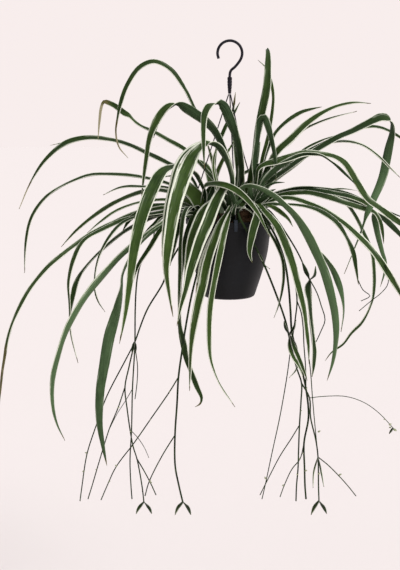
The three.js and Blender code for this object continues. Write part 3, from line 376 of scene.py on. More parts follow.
clipPlastic = grainMaterial("clipPlastic", {
    "Scale": 70, "Grain Scale": 1400, "Wear": 0.3, "Base": (0.016, 0.02, 0.027, 1),
    "Mottle": (0.026, 0.032, 0.042, 1), "Worn": (0.12, 0.13, 0.15, 1), "Roughness": 0.5,
    "bump": 0.2, "depth": 0.0002, "gloss": 0.15,
})
print("finishes ready")


# Lines and meshes that the pieces share

toMetres = Matrix.Scale(mm, 4)


def curveThrough(points, step):  # a smooth line, each place with how many of the given points it has passed
    first, last = points[0], points[-1]
    ends = [2 * first - points[1], *points, 2 * last - points[-2]]
    line = []
    for i in range(1, len(ends) - 2):
        a, b, c, d = ends[i - 1:i + 3]
        ta = 0.0
        tb = ta + math.sqrt((b - a).length)
        tc = tb + math.sqrt((c - b).length)
        td = tc + math.sqrt((d - c).length)
        count = max(2, math.ceil((c - b).length / step))
        for k in range(count):
            t = tb + (tc - tb) * k / count
            ab = a.lerp(b, (t - ta) / (tb - ta))
            bc = b.lerp(c, (t - tb) / (tc - tb))
            cd = c.lerp(d, (t - tc) / (td - tc))
            abc = ab.lerp(bc, (t - ta) / (tc - ta))
            bcd = bc.lerp(cd, (t - tb) / (td - tb))
            line.append((i - 1 + k / count, abc.lerp(bcd, (t - tb) / (tc - tb))))
    line.append((len(points) - 1, last.copy()))
    return line


def smoothLine(points, step):
    return [place for passed, place in curveThrough(points, step)]


def outAt(turn):
    return Vector((math.cos(turn), math.sin(turn), 0))


def directions(points):
    found = []
    for i, point in enumerate(points):
        before = (point - points[i - 1]).normalized() if i > 0 else Vector()
        after = (points[i + 1] - point).normalized() if i < len(points) - 1 else Vector()
        found.append((before + after).normalized())
    return found


def shares(points):
    along = [0.0]
    for i in range(1, len(points)):
        along.append(along[-1] + (points[i] - points[i - 1]).length)
    return [length / along[-1] for length in along], along[-1]


def smoothstep(value, low, high):
    share = min(1, max(0, (value - low) / (high - low)))
    return share * share * (3 - 2 * share)


def pickOnly(*objects):
    bpy.ops.object.select_all(action="DESELECT")
    for item in objects:
        item.select_set(True)
    bpy.context.view_layer.objects.active = objects[0]


def linked(name, data):  # a picked object for a mesh or curve
    item = bpy.data.objects.new(name, data)
    scene.collection.objects.link(item)
    pickOnly(item)
    return item


def copied(item):  # a copy with a mesh of its own
    twin = item.copy()
    twin.data = item.data.copy()
    scene.collection.objects.link(twin)
    return twin


def startEdit(item):
    pickOnly(item)
    bpy.ops.object.mode_set(mode="EDIT")
    bpy.ops.mesh.select_all(action="SELECT")


def endEdit():  # with every face turned outwards
    bpy.ops.mesh.select_all(action="SELECT")
    bpy.ops.mesh.normals_make_consistent(inside=False)
    bpy.ops.object.mode_set(mode="OBJECT")


def paint(item, *materials):
    item.data.materials.clear()
    for material in materials:
        item.data.materials.append(material)


def smoothUnder(item, degrees):  # smooth shading, with edges sharper than that left crisp
    pickOnly(item)
    bpy.ops.object.shade_smooth_by_angle(angle=math.radians(degrees))


def joinAs(name, objects):
    pickOnly(*objects)
    if len(objects) > 1:
        bpy.ops.object.join()
    joined = bpy.context.object
    joined.name = name
    joined.data.name = name
    return joined


def applyModifier(item, kind, **settings):
    pickOnly(item)
    modifier = item.modifiers.new(kind.lower(), kind)
    for name, value in settings.items():
        setattr(modifier, name, value)
    bpy.ops.object.modifier_apply(modifier=modifier.name)


def carry(item, slot, *solids):  # rides with the part and stands for the plain solids; the slot it is given is not used
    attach(item, "root")
    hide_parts(*solids)


# Leaves. leafOf takes a leaf's width in mm, the rows of its line, and what sets it apart from the others. A
# row is a pixel across and down, how far it lies in front of the pot's axis and, where it was read, the width
# seen there in pixels. The margin is the cream share of half the width. The tone runs from deep to fresh
# green, and from the share of the length in toneFrom on it changes to toneEnd. The blade dries from the share
# in dryFrom on. A higher taper keeps it broad nearer its tip. A face of 1 shows the upper side and -1 the
# underside, and a folded blade shows its other side past the row that is seen edge on.

leafForm = {
    "footWidth": 0.5,
    "footLength": 0.32,
    "tipCurve": 0.9,
    "taper": 2.8,
    "keel": 0.3,
    "keelCurve": 1.35,
    "keelMiddle": 0.45,
    "thickness": 0.9,
    "step": 5,
    "cellsAcross": 8,
    "edgeOn": 1.5,  # a folded blade turns over where it is seen narrower than this
    "margin": 0.13,
    "marginSpread": (0.85, 1.15),
    "tones": (0.15, 0.45),
    "slimToBroad": (9, 16),
    "slimDarker": 0.6,
    "slimGreener": 0.45,
    "dryFrom": 0.975,
    "dryTo": 0.62,
    "uneven": 0.03,
    "wave": 0.5,
    "waveEvery": 11,
    "waveFull": 16,  # the width from which the edge waves at its full height
    "phases": 6.28,
    "mapScale": 0.01,
}


def leafOf(wide, *line, **traits):
    return {"wide": wide, "line": line, **traits}


def stemOf(start, end, *line, rooted=False):  # its radius at each end, and whether it starts in the crown
    return {"thick": (start, end), "line": line, "rooted": rooted}


leafRows = {
    "left": {"at": (-42, -2), "leaves": [
        # long low arch to the far left
        leafOf(16, (196, 186, -6), (184, 170, -16), (168, 163, -26, 4), (150, 154, -36, 4),
            (133, 146, -44, 4), (112, 139.5, -50, 3), (90, 137, -54, 4.8), (66, 142, -57, 5),
            (48, 156.5, -58, 4), (33, 177, -58, 1.3), (19, 208, -54), tone=0.1, margin=0.08, dryFrom=0.87,
            dryTo=0.9),
        leafOf(8, (192, 190, -10), (168, 164, -32, 1.5), (133, 145.6, -52, 1.5), (100, 138, -64, 1.5),
            (76, 139, -67, 1.5), (64, 141.3, -68, 1.5), (50, 144.5, -69), tone=0.1, margin=0.03),
        leafOf(15, (188, 196, -6), (170, 184, -18), (149, 178, -28, 3), (128, 174.8, -38, 2.8),
            (105, 173.5, -46, 3), (87, 175.2, -54, 2.4), (60, 186.5, -62, 1.9), (42, 200.5, -68, 2.6),
            (32, 216, -70, 3.2), (26, 240, -72, 2.4), (24.5, 272, -72), tone=0.15),
        leafOf(9, (190, 198, 4), (168, 187, 2), (145, 186, 0, 2), (122, 186, -4, 2), (103, 194, -6)),
        leafOf(14, (190, 199, -18), (163, 190, -40, 3.5), (139, 192, -56, 4), (115, 202, -68, 4),
            (94, 215, -78, 3.5), (76, 230, -86, 2.5), (61, 246, -92)),
        leafOf(9, (188, 203, 10), (163, 199, 22, 2.5), (138, 202, 32, 2), (115, 210.5, 40, 2),
            (100, 221, 46, 2), (87, 232, 50), tone=0.4),
        # the longest one, out of the picture at its left edge
        leafOf(17, (190, 206, 12), (162, 207, 30, 4), (136, 213, 44, 4.6), (110, 224, 56, 4.2),
            (85, 237.3, 66, 4.2), (61, 255.6, 76, 4), (48, 266.3, 81, 4), (36, 280.3, 86, 3.8),
            (25, 297, 90, 3.5), (15, 316.5, 95, 3), (8, 338.5, 98, 2.4), (4, 360, 99.5, 2.2),
            (1.2, 382, 100, 2), (-1, 406, 100), margin=0.14, tone=0.35, dryFrom=0.76),
        leafOf(12, (188, 208, 24), (158, 214, 44, 3.5), (130, 217.5, 60), (104, 228, 72), (84, 240, 80, 3.5),
            (74, 258, 86, 4), (69, 280, 88, 3), (69.7, 300, 90, 1.4), (71, 332, 90, 1.2), (78, 362, 88)),
        leafOf(11, (186, 209, 30), (158, 212, 54, 3), (134, 217, 72), (120, 224, 80, 2.5), (107, 240, 88, 3),
            (98, 260, 92, 1.3), (94.5, 284, 94, 0.9), (98, 300, 94, 1.5), (105, 311, 93)),
        leafOf(13, (188, 210, 18), (160, 214.5, 32, 3.5), (131, 227, 42, 3.5), (118, 236, 47, 3),
            (105, 247, 52, 2), (95, 256, 55, 1.8), (84, 269, 59, 2.2), (76.5, 282, 62, 4.5),
            (71.8, 300, 64, 4.5), (69, 319, 65), taper=6),
        leafOf(9, (186, 207, 26), (160, 204, 44, 3), (146, 207, 54), (134, 214.5, 60, 4.5), (128, 221, 63, 4),
            (122.5, 230, 65), taper=7),
        leafOf(8, (186, 212, 26), (162, 215.5, 46, 2.5), (154, 223, 54, 2.5), (146, 231, 60, 2.5),
            (138, 241, 64)),
        leafOf(16, (186, 212, 34), (160, 224, 62, 4), (127, 250, 88, 5), (98, 280, 100, 6.5),
            (76, 311, 108, 6), (62, 342, 113, 5), (53, 378, 116, 5), (52.5, 403, 117, 3.5),
            (57, 423, 117, 1.8), (65, 440, 116), margin=0.6, tone=2.8, toneEnd=1, face=-1),
        leafOf(12, (186, 214, 40), (164, 226, 64, 4), (149, 248, 74, 4), (138, 265, 78, 3.5), (131, 287, 80)),
        leafOf(11, (196, 205, 22), (188, 209, 34, 3), (182, 217, 44, 4.5), (179, 228, 50, 4.5),
            (176.5, 238, 53, 2.8), (174, 249, 55, 1.8), (170, 265, 56), margin=0.04, tone=0.1),
        # broad arch that comes forward
        leafOf(21, (204.5, 193, 12, 3.5), (199.5, 181, 20, 3.4), (193.5, 171.5, 30, 3.2), (185, 166.3, 40, 3),
            (176, 165.7, 50, 3), (163.5, 170, 66, 9), (153.4, 186, 84, 12.8), (145.4, 205, 98, 13.8),
            (138.3, 227, 108, 12.5), (133, 255, 115, 9.5), (129, 284, 118, 6.8), (125.6, 310, 119, 4.2),
            (119.5, 343, 119), margin=0.13, tone=0.05, toneEnd=0.7, dryFrom=0.96),
        # low blade that turns its face to the front at the bottom
        leafOf(17, (182, 216, 36), (152, 232, 66, 3), (136, 248, 80, 1.5), (127.5, 262, 88, 0.8),
            (122.3, 275, 92, 0.8), (121.8, 287, 95, 2.2), (118.2, 306, 100, 7.5), (109.6, 335, 106, 12),
            (104.4, 362, 110, 11.8), (100.3, 390, 112, 9.5), (99.3, 420, 113, 6.8), (103, 445, 113, 4),
            (107, 465, 113), margin=0.1, tone=1.6, toneEnd=0.6, face=-1, taper=4.5),
        leafOf(9, (190, 206, 36), (184, 214, 62), (181, 240, 72, 3.5), (180, 270, 76, 4), (179, 295, 77, 3.5),
            (178.5, 315, 77)),
        leafOf(7, (188, 211, 38), (183, 219, 52, 3), (181, 234, 58, 3), (180, 256, 60), margin=0.04),
        # narrow arch that crosses the pot's front to the right
        leafOf(12, (204, 187, 20, 2), (212, 183.3, 44, 4), (226, 184.5, 66, 6.5), (239, 191, 78, 7),
            (250, 201.5, 87, 7), (259, 214, 94, 5.5), (265, 226, 98, 4), (270, 236, 100), margin=0.1,
            tone=0.45, face=1),
        # hidden behind the others as far as its broad brown end
        leafOf(14, (198, 209, 28), (191, 223, 42), (184, 254, 50), (180.5, 288, 60, 3), (180, 312, 66, 3),
            (180.8, 325, 69, 4), (184, 343, 72, 6.5), (186.5, 357, 74, 5), (192, 371, 76, 4.5),
            (197, 386, 77, 5.5), (201.5, 397, 78, 3), (200, 403, 78, 1.5), (195, 406, 78), margin=0.06,
            tone=0.12, taper=6, dryFrom=0.965),
        # young ones and the backs of others, which close the crown
        leafOf(26, (200, 209, 14), (197.5, 201, 18, 12), (193.5, 193.5, 18, 14), (188, 188.5, 12, 12),
            (181, 187, 4, 7), (172, 188, -4), margin=0.04, tone=2.2),
        leafOf(16, (199, 208, 4), (191, 202, 0, 9), (183, 200, -6, 6), (174, 201, -12), margin=0.08,
            tone=1.6),
        leafOf(10, (204, 204, 2), (206, 194, 4, 5), (210, 186, 4, 4), (214, 182, 2), tone=0.1),
        leafOf(10, (206, 206, 6), (210, 197, 10, 5), (213, 188, 10, 4), (214, 180, 8), tone=0.25),
    ], "stems": [
        stemOf(1.3, 0.9, (194, 211, 36), (176, 220, 48), (163, 228, 54), (149, 248.5, 59), (141, 262, 60),
            (137.6, 275, 60), (136, 290, 60), (135.2, 310, 60), (134.8, 345, 60), (132.5, 387, 60),
            (131.5, 430, 60), (130, 460, 60), (131, 485, 60), (132, 498, 60), rooted=True),
        stemOf(0.8, 0.7, (134.8, 345, 60), (137.5, 365, 58), (137, 382, 57), (135, 398, 56)),
        stemOf(0.6, 0.4, (132.4, 388, 60), (126, 399, 61), (117, 413, 62), (110, 427, 63)),
        stemOf(0.6, 0.4, (131.5, 430, 60), (138, 437, 59), (144, 446, 58), (149, 457, 57)),
    ]},
    "front": {"at": (4, -34), "leaves": [
        leafOf(20, (231.5, 198, 40, 3), (230.5, 188, 48, 3), (227, 184.5, 54, 5), (221.5, 190.5, 60, 8.5),
            (214, 206, 78, 12), (206, 225, 92, 13.5), (198, 245, 104, 12), (191, 267, 111, 10),
            (186, 287, 114, 6), (181, 304, 115, 4), (177, 325, 115), margin=0.28, tone=0.3, face=1),
        leafOf(11, (231, 208, 38, 1.2), (227, 212.5, 48, 1.2), (222.5, 219, 56, 1.5), (217, 227.5, 64, 3),
            (211.5, 238, 72, 4.5), (206, 250, 80, 5), (201.8, 262, 86, 5.5), (199, 275, 90, 5),
            (195.5, 292, 92), margin=0.8, tone=0.8, face=1, dryFrom=0.9, dryTo=1),
        leafOf(17, (232.5, 206, 46, 1.5), (228.5, 210.5, 58, 2.5), (224, 217, 68, 4.5), (219.3, 226, 78, 7),
            (213.8, 241, 88, 8.8), (207.4, 263, 97, 9.4), (202.6, 285, 101, 9.4), (197.4, 307, 103, 8.8),
            (193, 330, 104, 6.5), (191, 352, 104, 4), (189.5, 390, 103), margin=0.24, tone=0.6, face=1),
        leafOf(12, (233.5, 207, 46, 1.5), (230, 212, 58, 2.5), (227.5, 220, 66, 4.5), (224, 232, 74, 6.3),
            (219.5, 253, 81, 6.5), (214.2, 279, 86, 6), (209.7, 308, 88, 5.6), (208.9, 337, 88, 5),
            (210.7, 360, 87, 2.4), (219, 382, 86, 1.2), (235, 406, 84), margin=0.17, tone=0.5, taper=3.5),
        leafOf(17, (219, 199, 38, 3), (212, 201.5, 54, 5), (205, 208, 64, 7), (197, 223, 78, 9),
            (190, 244, 86, 8), (187, 263, 90, 5), (184, 284, 92), margin=0.26, tone=0.5),
        # long arch over the pot's front to the right
        leafOf(18, (236, 201, 40, 3), (239, 191, 47, 3), (244, 186.5, 54, 3.5), (251, 185.5, 62, 4),
            (262, 189, 74, 4.4), (277, 198, 86, 4.8), (285, 205, 91, 5.2), (293, 213, 96, 6.2),
            (305, 230.5, 104, 8.2), (315.5, 250.5, 110, 9), (324.5, 271.5, 114, 8.5), (331.5, 296, 117, 8.2),
            (335.5, 318, 118, 7), (336, 338, 118, 5), (333, 360, 118, 3), (327, 380, 117), margin=0.12,
            tone=1.4, toneEnd=1.9, face=-1),
        # the broadest, up and over to the left, with a brown tip
        leafOf(25, (229, 206, 42), (229.5, 196, 50), (231.5, 187, 56, 4), (231.3, 177, 58, 4.5),
            (228, 164, 58, 5.2), (223, 153, 56, 6.4), (217, 145.3, 54, 4.8), (209.5, 142, 54, 2.8),
            (201, 146, 54, 6.5), (194, 153.5, 60, 11), (188, 165.5, 72, 14.5), (181.8, 180, 86, 16.6),
            (176, 199, 104, 16), (171.9, 220, 115, 13.6), (168.3, 243, 123, 11.2), (166.5, 266, 127.4, 7),
            (169, 290, 129.1, 3.5), (173, 316, 129.2), margin=0.25, tone=0.3, toneEnd=0.7, dryFrom=0.955),
        # young ones over the rim, in front of the wire
        leafOf(12, (233.5, 209, 62, 1.5), (234, 203, 67, 4), (233, 196, 68, 5.5), (230, 190.5, 66, 4.5),
            (226, 187, 62), margin=0.02, tone=0.2),
        leafOf(9, (233.5, 209, 64, 1.5), (236.5, 204, 69, 3), (240, 200, 70, 3.5), (245, 197, 67),
            margin=0.02, tone=0.6),
    ]},
    "middle": {"at": (8, 4), "leaves": [
        # beside and behind the broadest one
        leafOf(16, (233, 186, 4, 3), (231.5, 176, 8, 3), (228.3, 164, 12, 3.4), (223.6, 153, 16, 3.4),
            (216.5, 146, 20, 3), (208, 142.6, 26, 2.5), (199, 143.5, 34, 3), (191, 147, 43, 3.4),
            (185, 152.3, 51, 4), (179, 161, 63, 4), (174.2, 173, 75, 4), (171.2, 185, 83, 4),
            (168, 200, 91, 4.4), (165.5, 216, 97, 4.4), (163, 236, 101, 4), (162, 256, 102), margin=0.5,
            tone=0.35),
        # tall arch to the left that shows its underside and then its face
        leafOf(17, (234, 188, -2, 4), (232, 174, 2, 4), (228.5, 161, 4, 4.5), (223, 148, 4, 5.5),
            (218, 137, 4, 6.5), (212, 127, 3, 8), (204, 119.3, 1, 9.3), (195, 113, -2, 9.8),
            (187, 108, -6, 9.5), (181.5, 105, -8, 8.5), (176, 103.6, -9, 1.2), (170, 104.6, -10, 5.5),
            (163, 110, -12, 7.5), (156.5, 119.5, -12, 8), (151.5, 132, -12, 6), (148.7, 142, -12, 4.7),
            (146.5, 156, -11, 4.5), (144.2, 172, -10, 3.5), (141.5, 197, -8), margin=0.14, tone=0.4, face=-1,
            folded=True),
        # folded over at its top
        leafOf(17, (241, 186, 2, 5), (241, 170, 14, 5.3), (239, 152, 28, 6), (236.8, 140, 34, 6.8),
            (233.8, 130, 37, 8), (230.3, 120, 38, 9.7), (227, 111, 36, 10.8), (223.2, 104.6, 33, 10),
            (220, 102.8, 30, 8.5), (215.6, 102.8, 29, 1.2), (210, 104.3, 34, 5.5), (205.3, 112, 44, 7),
            (203.8, 124, 58, 5.8), (203.6, 142, 74, 4), (204.5, 168, 78), margin=0.12, tone=0.25, face=-1,
            folded=True),
        leafOf(8, (219, 192, 10), (216.5, 179, 12, 3.2), (213.8, 166, 14, 3.2), (211, 155, 16, 3.2),
            (208, 145, 18, 2.8), (205.5, 138, 20), margin=0.35, tone=2.8, face=1),
        leafOf(8, (219, 192, 14), (215, 178, 17, 2.8), (213, 166, 19, 2.8), (214.2, 155, 21, 3.2),
            (217, 147, 23, 3), (220, 141, 24), margin=0.35, tone=2.4, face=1),
        leafOf(8, (219, 192, 4), (216.3, 178, 2, 3.4), (221.7, 161, -2, 3.8), (230, 147, -6, 3),
            (236, 136, -8), margin=0.1, tone=1.6),
        leafOf(8, (220, 190, -8), (215, 168, -12, 2), (217, 148, -16, 2), (221, 137, -18, 3.8),
            (227, 123, -20, 3.8), (234, 112, -22, 2.8), (240, 101, -24), margin=0.04, tone=0.3, taper=6),
        leafOf(7, (236, 188, -6), (237.5, 170, -12, 2), (237, 152, -17, 2), (235, 138, -20, 2),
            (233.5, 124, -23, 2), (233, 112, -25, 2), (234, 103, -26, 2.2), (235.5, 91, -27), margin=0.04,
            tone=0.3, taper=6, dryFrom=0.87),
        # kinked, with a dry end that hangs straight down
        leafOf(12, (227, 192, -6), (214, 179, -18, 3.3), (206, 169.5, -24, 3.3), (199, 162, -27, 3.3),
            (184, 148.5, -30, 4), (168, 139, -33, 4), (152, 130.5, -36, 3.5), (141, 125.5, -38, 1.8),
            (135.5, 121.5, -39.5, 2.6), (132, 118, -40, 2), (129, 114.8, -40.5, 3.5), (124.5, 112, -41, 6.5),
            (116, 105.5, -42, 5.8), (109, 102, -43, 4.8), (104, 101, -43, 2.5), (101, 108, -43, 2.2),
            (99.5, 120, -43, 2), (98, 138, -43), tone=0.3, margin=0.08, dryFrom=0.77, dryTo=0.95, taper=4),
        # over the picture's top edge and down again on the left
        leafOf(14, (233, 190, -14), (229, 160, -20, 3), (218, 139, -26, 3), (206, 122, -32, 3),
            (196, 111, -36, 3), (190.5, 100.5, -38, 3), (184.5, 88.5, -40, 3), (171, 69, -40), (154, 61, -38),
            (139, 67, -35), (127.5, 84, -32, 4.5), (121.5, 100, -30, 4), (118, 115, -29, 2),
            (116, 131, -28, 1.3), (119, 146, -27, 1.1), (128, 157, -27), tone=0.15, margin=0.06, dryFrom=0.83,
            dryTo=0.75),
        # young ones round the crown, and a narrow one over the coir
        leafOf(10, (232, 204, 0), (226, 196, 2, 5), (220, 192, 2, 4), (212, 192, 0), tone=0.1),
        leafOf(12, (236, 206, 20), (233, 198, 26, 7), (229, 192, 30, 6), (224, 188, 32), tone=0.2),
        leafOf(12, (238, 206, -6), (240, 195, -8, 7), (243, 186, -8, 6), (247, 180, -8), tone=0.2),
        leafOf(12, (238, 208, 10), (246, 198, 6, 8), (253, 190, 2, 7), (259, 184, 0), tone=0.35),
        leafOf(3, (234, 208, 30), (240, 206.5, 40, 1), (248, 208.5, 46, 1.2), (254, 215, 50, 1.2),
            (257, 224, 52), margin=0.5, tone=0.6),
    ]},
    "right": {"at": (36, -8), "leaves": [
        # upright, out of the picture at its top edge, then over to the back
        leafOf(17, (248.5, 198, -4, 5), (250.5, 180, -4, 5.5), (254.5, 160, -5, 5), (257, 139, -8, 5.5),
            (261, 118, -12, 8), (264.5, 100, -16, 8.5), (267, 84, -22, 8), (268, 66, -34, 8),
            (268, 53, -52, 7), (267, 48, -76, 5), (266, 51, -102), margin=0.07, tone=0.3),
        leafOf(14, (256, 181, 6), (255, 163, 8, 4.5), (257, 143, 8, 5), (258.8, 128, 8, 5.5),
            (260.6, 119.5, 9, 6), (264.5, 117, 13, 8.3), (266.9, 122, 16, 8.5), (270.4, 134, 19, 5.6),
            (273.4, 148, 21, 3.8), (275.6, 162, 22, 3), (276, 181, 23), margin=0.2, tone=0.3),
        leafOf(10, (259, 180, -10), (262.5, 160, -14, 3.5), (267, 142, -18, 4), (270.5, 125, -22, 3),
            (273, 108, -25, 3), (273.5, 95, -27, 3), (271, 80, -30, 3), (266, 67, -36), (258, 59, -44),
            tone=1.3),
        leafOf(9, (262, 168, -12), (268, 148, -20), (275, 133.3, -26, 3), (286, 121.4, -32, 4),
            (300, 111.7, -38, 3.8), (312, 107.9, -42, 3.4), (322, 105.8, -45), taper=6),
        leafOf(15, (263, 180, 8), (269, 165, 10, 5), (277, 151.5, 10, 6.5), (290, 139.2, 8, 7),
            (303, 125.8, 4, 6.3), (320, 113.6, 0, 4.6), (337, 105.2, -4, 3), (354, 101.7, -8, 2),
            (371, 102.4, -10), margin=0.16, tone=0.35),
        leafOf(8, (266, 172, 2), (280, 151, -2, 2), (292, 140.5, -6, 2), (303, 129.5, -6, 2),
            (311, 125, -4, 2), (328, 118, 0, 1.5), (357, 110.2, 4)),
        # far arch that folds over at its top and hangs back
        leafOf(19, (262, 188, -8, 5), (275, 177, -16, 5), (290, 166.5, -22, 4.5), (305, 156.5, -28, 4.5),
            (322, 146, -35, 5), (341, 135.6, -42, 5.8), (350, 131.7, -46, 5.8), (361, 126.4, -50, 5.8),
            (373, 120.5, -55, 7), (381, 116.6, -59, 8.5), (386.5, 116.8, -61, 7.5), (390, 119, -62, 1.2),
            (391.8, 123.5, -62, 3.5), (391.7, 131, -62, 5.5), (388.9, 145, -60, 8), (386.4, 159.5, -56, 8.5),
            (384.2, 171, -50, 8.5), (379.8, 184, -43, 8.5), (374.8, 195, -36, 8), (370.5, 205, -31, 7),
            (366.8, 213, -28, 5), (364.2, 220, -27, 2.2), (360.7, 231, -26, 1.2), (353.2, 251, -24, 1),
            (344.2, 273, -22), margin=0.06, tone=0, toneFrom=0.49, toneEnd=3.4, face=1, folded=True),
        leafOf(7, (268, 186, -30), (285, 167, -44), (303, 149.5, -58, 2.5), (320, 140, -68, 2.5),
            (340, 133, -80)),
        leafOf(11, (269, 184, -14), (279, 175.3, -22, 5.5), (290, 167, -30, 6), (300, 159.3, -36, 5),
            (309, 152.4, -42, 3), (322, 144.6, -50, 2.2), (336, 140.8, -52, 2), (350, 141, -50, 2.2),
            (364, 145, -46, 2.3), (378, 154.6, -43, 2.2), (390, 166.6, -42, 2), (401, 177.5, -42),
            margin=0.34),
        leafOf(16, (257, 178, 16, 3), (259, 168, 20, 3), (265, 164, 20, 4.5), (275, 161.3, 20, 6.8),
            (288, 157.3, 18, 7.8), (304, 152.8, 14, 6), (320, 153.5, 10, 4.5), (334, 156, 6, 4.5),
            (344, 162, 4, 5.5), (352, 174, 2, 6.5), (361, 189, 2, 7), (368, 198.6, 2, 6),
            (378, 206.6, 3, 4.5), (388, 213.8, 5, 6.5), (400, 221.6, 6, 9.5), (417, 233, 8), margin=0.1,
            tone=0.35, taper=8),
        leafOf(11, (264, 181, 24), (277, 167.5, 24, 6), (289, 159.5, 22, 5.5), (303, 153.5, 18, 2.5),
            (320, 154, 20, 1.5), (332, 161, 26, 1.6), (345, 172.5, 32, 2.5), (357, 185, 40), margin=0.2,
            tone=0.2),
        leafOf(10, (262, 194, -16), (275, 178, -36), (300, 155.5, -66), (335, 137, -90),
            (362, 127.5, -102, 2), (375, 125.8, -105, 2.5), (388, 129.5, -108, 2.5), (399, 135.5, -110, 4),
            (412, 145, -112), margin=0.03, tone=0.1, taper=6),
        leafOf(7, (258, 196, 24), (266, 186, 32, 2.5), (274, 182, 36, 2.5), (285, 181.3, 38)),
        leafOf(9, (247, 196, -8), (241.5, 181, -12), (243, 173.3, -15, 3.5), (250, 169.6, -17, 3.5),
            (258, 165.5, -18, 3.5), (269, 162, -18, 3.5), (272.5, 166, -17, 3), (271.8, 173, -16, 2.2),
            (268, 179, -16), margin=0.02, tone=0, taper=6),
        leafOf(12, (247, 203, 8, 5), (243.5, 194, 14, 6), (242, 187, 18, 5), (243.5, 180, 20), margin=0.03,
            tone=0.6),
        leafOf(13, (252, 204, 10, 6), (250.5, 195, 18, 8), (250, 188, 22, 7), (251, 180, 24), margin=0.03,
            tone=1),
        leafOf(12, (256, 203, 12, 5), (258, 193, 20, 6), (261, 187, 26, 5), (266, 180, 28), margin=0.03,
            tone=0.8),
        leafOf(10, (254, 206, 18, 5), (261, 199, 30, 5), (268, 195, 38, 4), (274, 194, 44), margin=0.03,
            tone=0.3),
        leafOf(15, (255, 203, 6, 5), (258, 190, 14, 8), (263, 179, 18, 9), (268, 171, 18, 6), (271, 165, 17),
            margin=0.04, tone=1.4),
        leafOf(15, (257, 203, 26), (264, 210, 50, 5), (275, 223, 70, 7), (284.5, 241, 84, 8),
            (290.8, 259, 92, 7.6), (296.8, 280, 98, 6.6), (302.5, 303, 101, 5), (306, 325, 102, 3.8),
            (308.5, 345, 102, 3), (309, 363, 102), margin=0.12, tone=0.45),
        leafOf(8, (255, 205, 30), (259, 212, 54), (268, 229, 70, 3), (276, 243, 77, 3), (282, 258, 81, 3),
            (283.5, 274, 83, 3), (282, 290, 84, 2.2), (278, 306, 84, 1.2), (274, 317, 84)),
        leafOf(14, (256, 204, 34), (257.5, 207, 54, 6), (256, 218, 70, 8), (252.6, 231, 78, 8.5),
            (250.2, 243, 81, 8.3), (249.6, 252.5, 82, 6), (252.3, 262, 82), taper=4.5),
        leafOf(10, (262, 204, 22), (272, 206, 34, 3), (281, 211.5, 44, 4.5), (288, 217.5, 50, 4),
            (293, 226, 54), tone=0.9, margin=0.06),
        leafOf(12, (262, 205, 30, 2), (281, 204, 48, 2), (299, 221, 62, 2), (310, 239, 68, 2),
            (317, 249, 71, 1.4), (322.5, 254.5, 74, 1.8), (328, 261.5, 77, 3.5), (333.6, 270.5, 78, 5.6),
            (338.2, 281, 80, 6.5), (341.5, 291, 82, 4.6), (343.3, 301, 82, 2.6), (343.6, 313, 82, 1.2),
            (341, 331, 82), tone=1.3, margin=0.06, taper=4, face=-1),
        # young ones that close the crown
        leafOf(13, (250, 206, -2), (247, 196, -4, 8), (246, 187, -6, 7), (247, 180, -8), margin=0.03,
            tone=0.7),
        leafOf(13, (254, 206, 0), (255, 196, 0, 8), (258, 188, 0, 7), (262, 182, 0), margin=0.03, tone=0.9),
        leafOf(10, (256, 206, 10), (262, 197, 14, 6), (269, 191, 16, 5), (276, 188, 16), margin=0.03,
            tone=0.4),
    ], "stems": [
        # three runners that come straight out of this crown, and the branch of each
        stemOf(1.7, 1.3, (257, 207, 50), (270, 225, 66), (279, 243, 71), (285, 262, 74), (288.5, 285, 75),
            (290.5, 310, 75), (292, 332, 75), (300, 362, 75), (306, 388, 75), (308.5, 416, 75),
            (304, 442, 75), (304.5, 466, 75), (305, 485, 75), (306, 498, 75), rooted=True),
        stemOf(0.8, 0.7, (304, 442, 75), (300, 458, 73), (292, 468, 71), (284, 485, 70), (280, 496, 70)),
        stemOf(1.3, 1, (260, 207, 44), (274, 226, 60), (286, 249, 68), (294, 275, 71), (297, 300, 73),
            (295.5, 316, 74), (292.5, 336, 75), rooted=True),
        stemOf(0.9, 0.8, (297, 300, 73), (301, 311, 74), (303, 325, 75), (304, 345, 75), (305.5, 365, 75),
            (306, 388, 75)),
        stemOf(1.4, 1, (266, 208, 30), (277, 219, 52), (284, 229, 60), (291, 240, 67), (299, 254, 73),
            (310, 279, 79), rooted=True),
        stemOf(0.9, 0.7, (310, 279, 79), (317, 292, 82), (321, 304, 84), (325, 319, 85), (321, 330, 86),
            (316, 341, 86)),
    ]},
    "far_right": {"at": (38, 17), "leaves": [
        leafOf(14, (268, 197, -28), (276, 193.5, -32, 4), (290, 190.3, -36, 5), (310, 189.8, -42, 5),
            (330, 191.8, -46, 4.5), (350, 196, -50, 4), (366, 203, -52, 4), (372.5, 210, -52, 1.2),
            (374.6, 218, -51, 6.2), (378, 235, -50, 6.8), (382.2, 251, -49, 5.5), (385.6, 262, -48, 3.6),
            (384.4, 272, -47, 3), (380.3, 286, -46), margin=0.08, tone=0, toneFrom=0.49, toneEnd=3, face=1,
            folded=True),
        leafOf(14, (268, 199.5, -14), (277, 196, -16, 5), (292, 192.8, -18, 5), (310, 192.3, -20, 4.8),
            (328, 196.6, -24, 5.4), (346, 202.4, -31, 5.5), (362, 207.4, -38, 5), (374, 211.5, -40, 3),
            (379.8, 220, -40, 4), (382.6, 231, -40, 4), (383.8, 243, -40), margin=0.1, tone=0.3, taper=5),
        leafOf(6, (267, 197, -22), (290, 190, -46), (310, 188.5, -62), (328, 188.5, -73, 2),
            (343, 187.7, -82, 2.2), (357, 189.5, -88)),
        leafOf(14, (266, 204, -2), (276, 198.5, 2, 4), (290, 197.3, 6, 4.5), (308, 202.6, 10, 5),
            (324, 209.7, 14, 5), (342, 221.2, 18, 5), (358, 235, 22, 5.4), (374, 252, 26, 6.2),
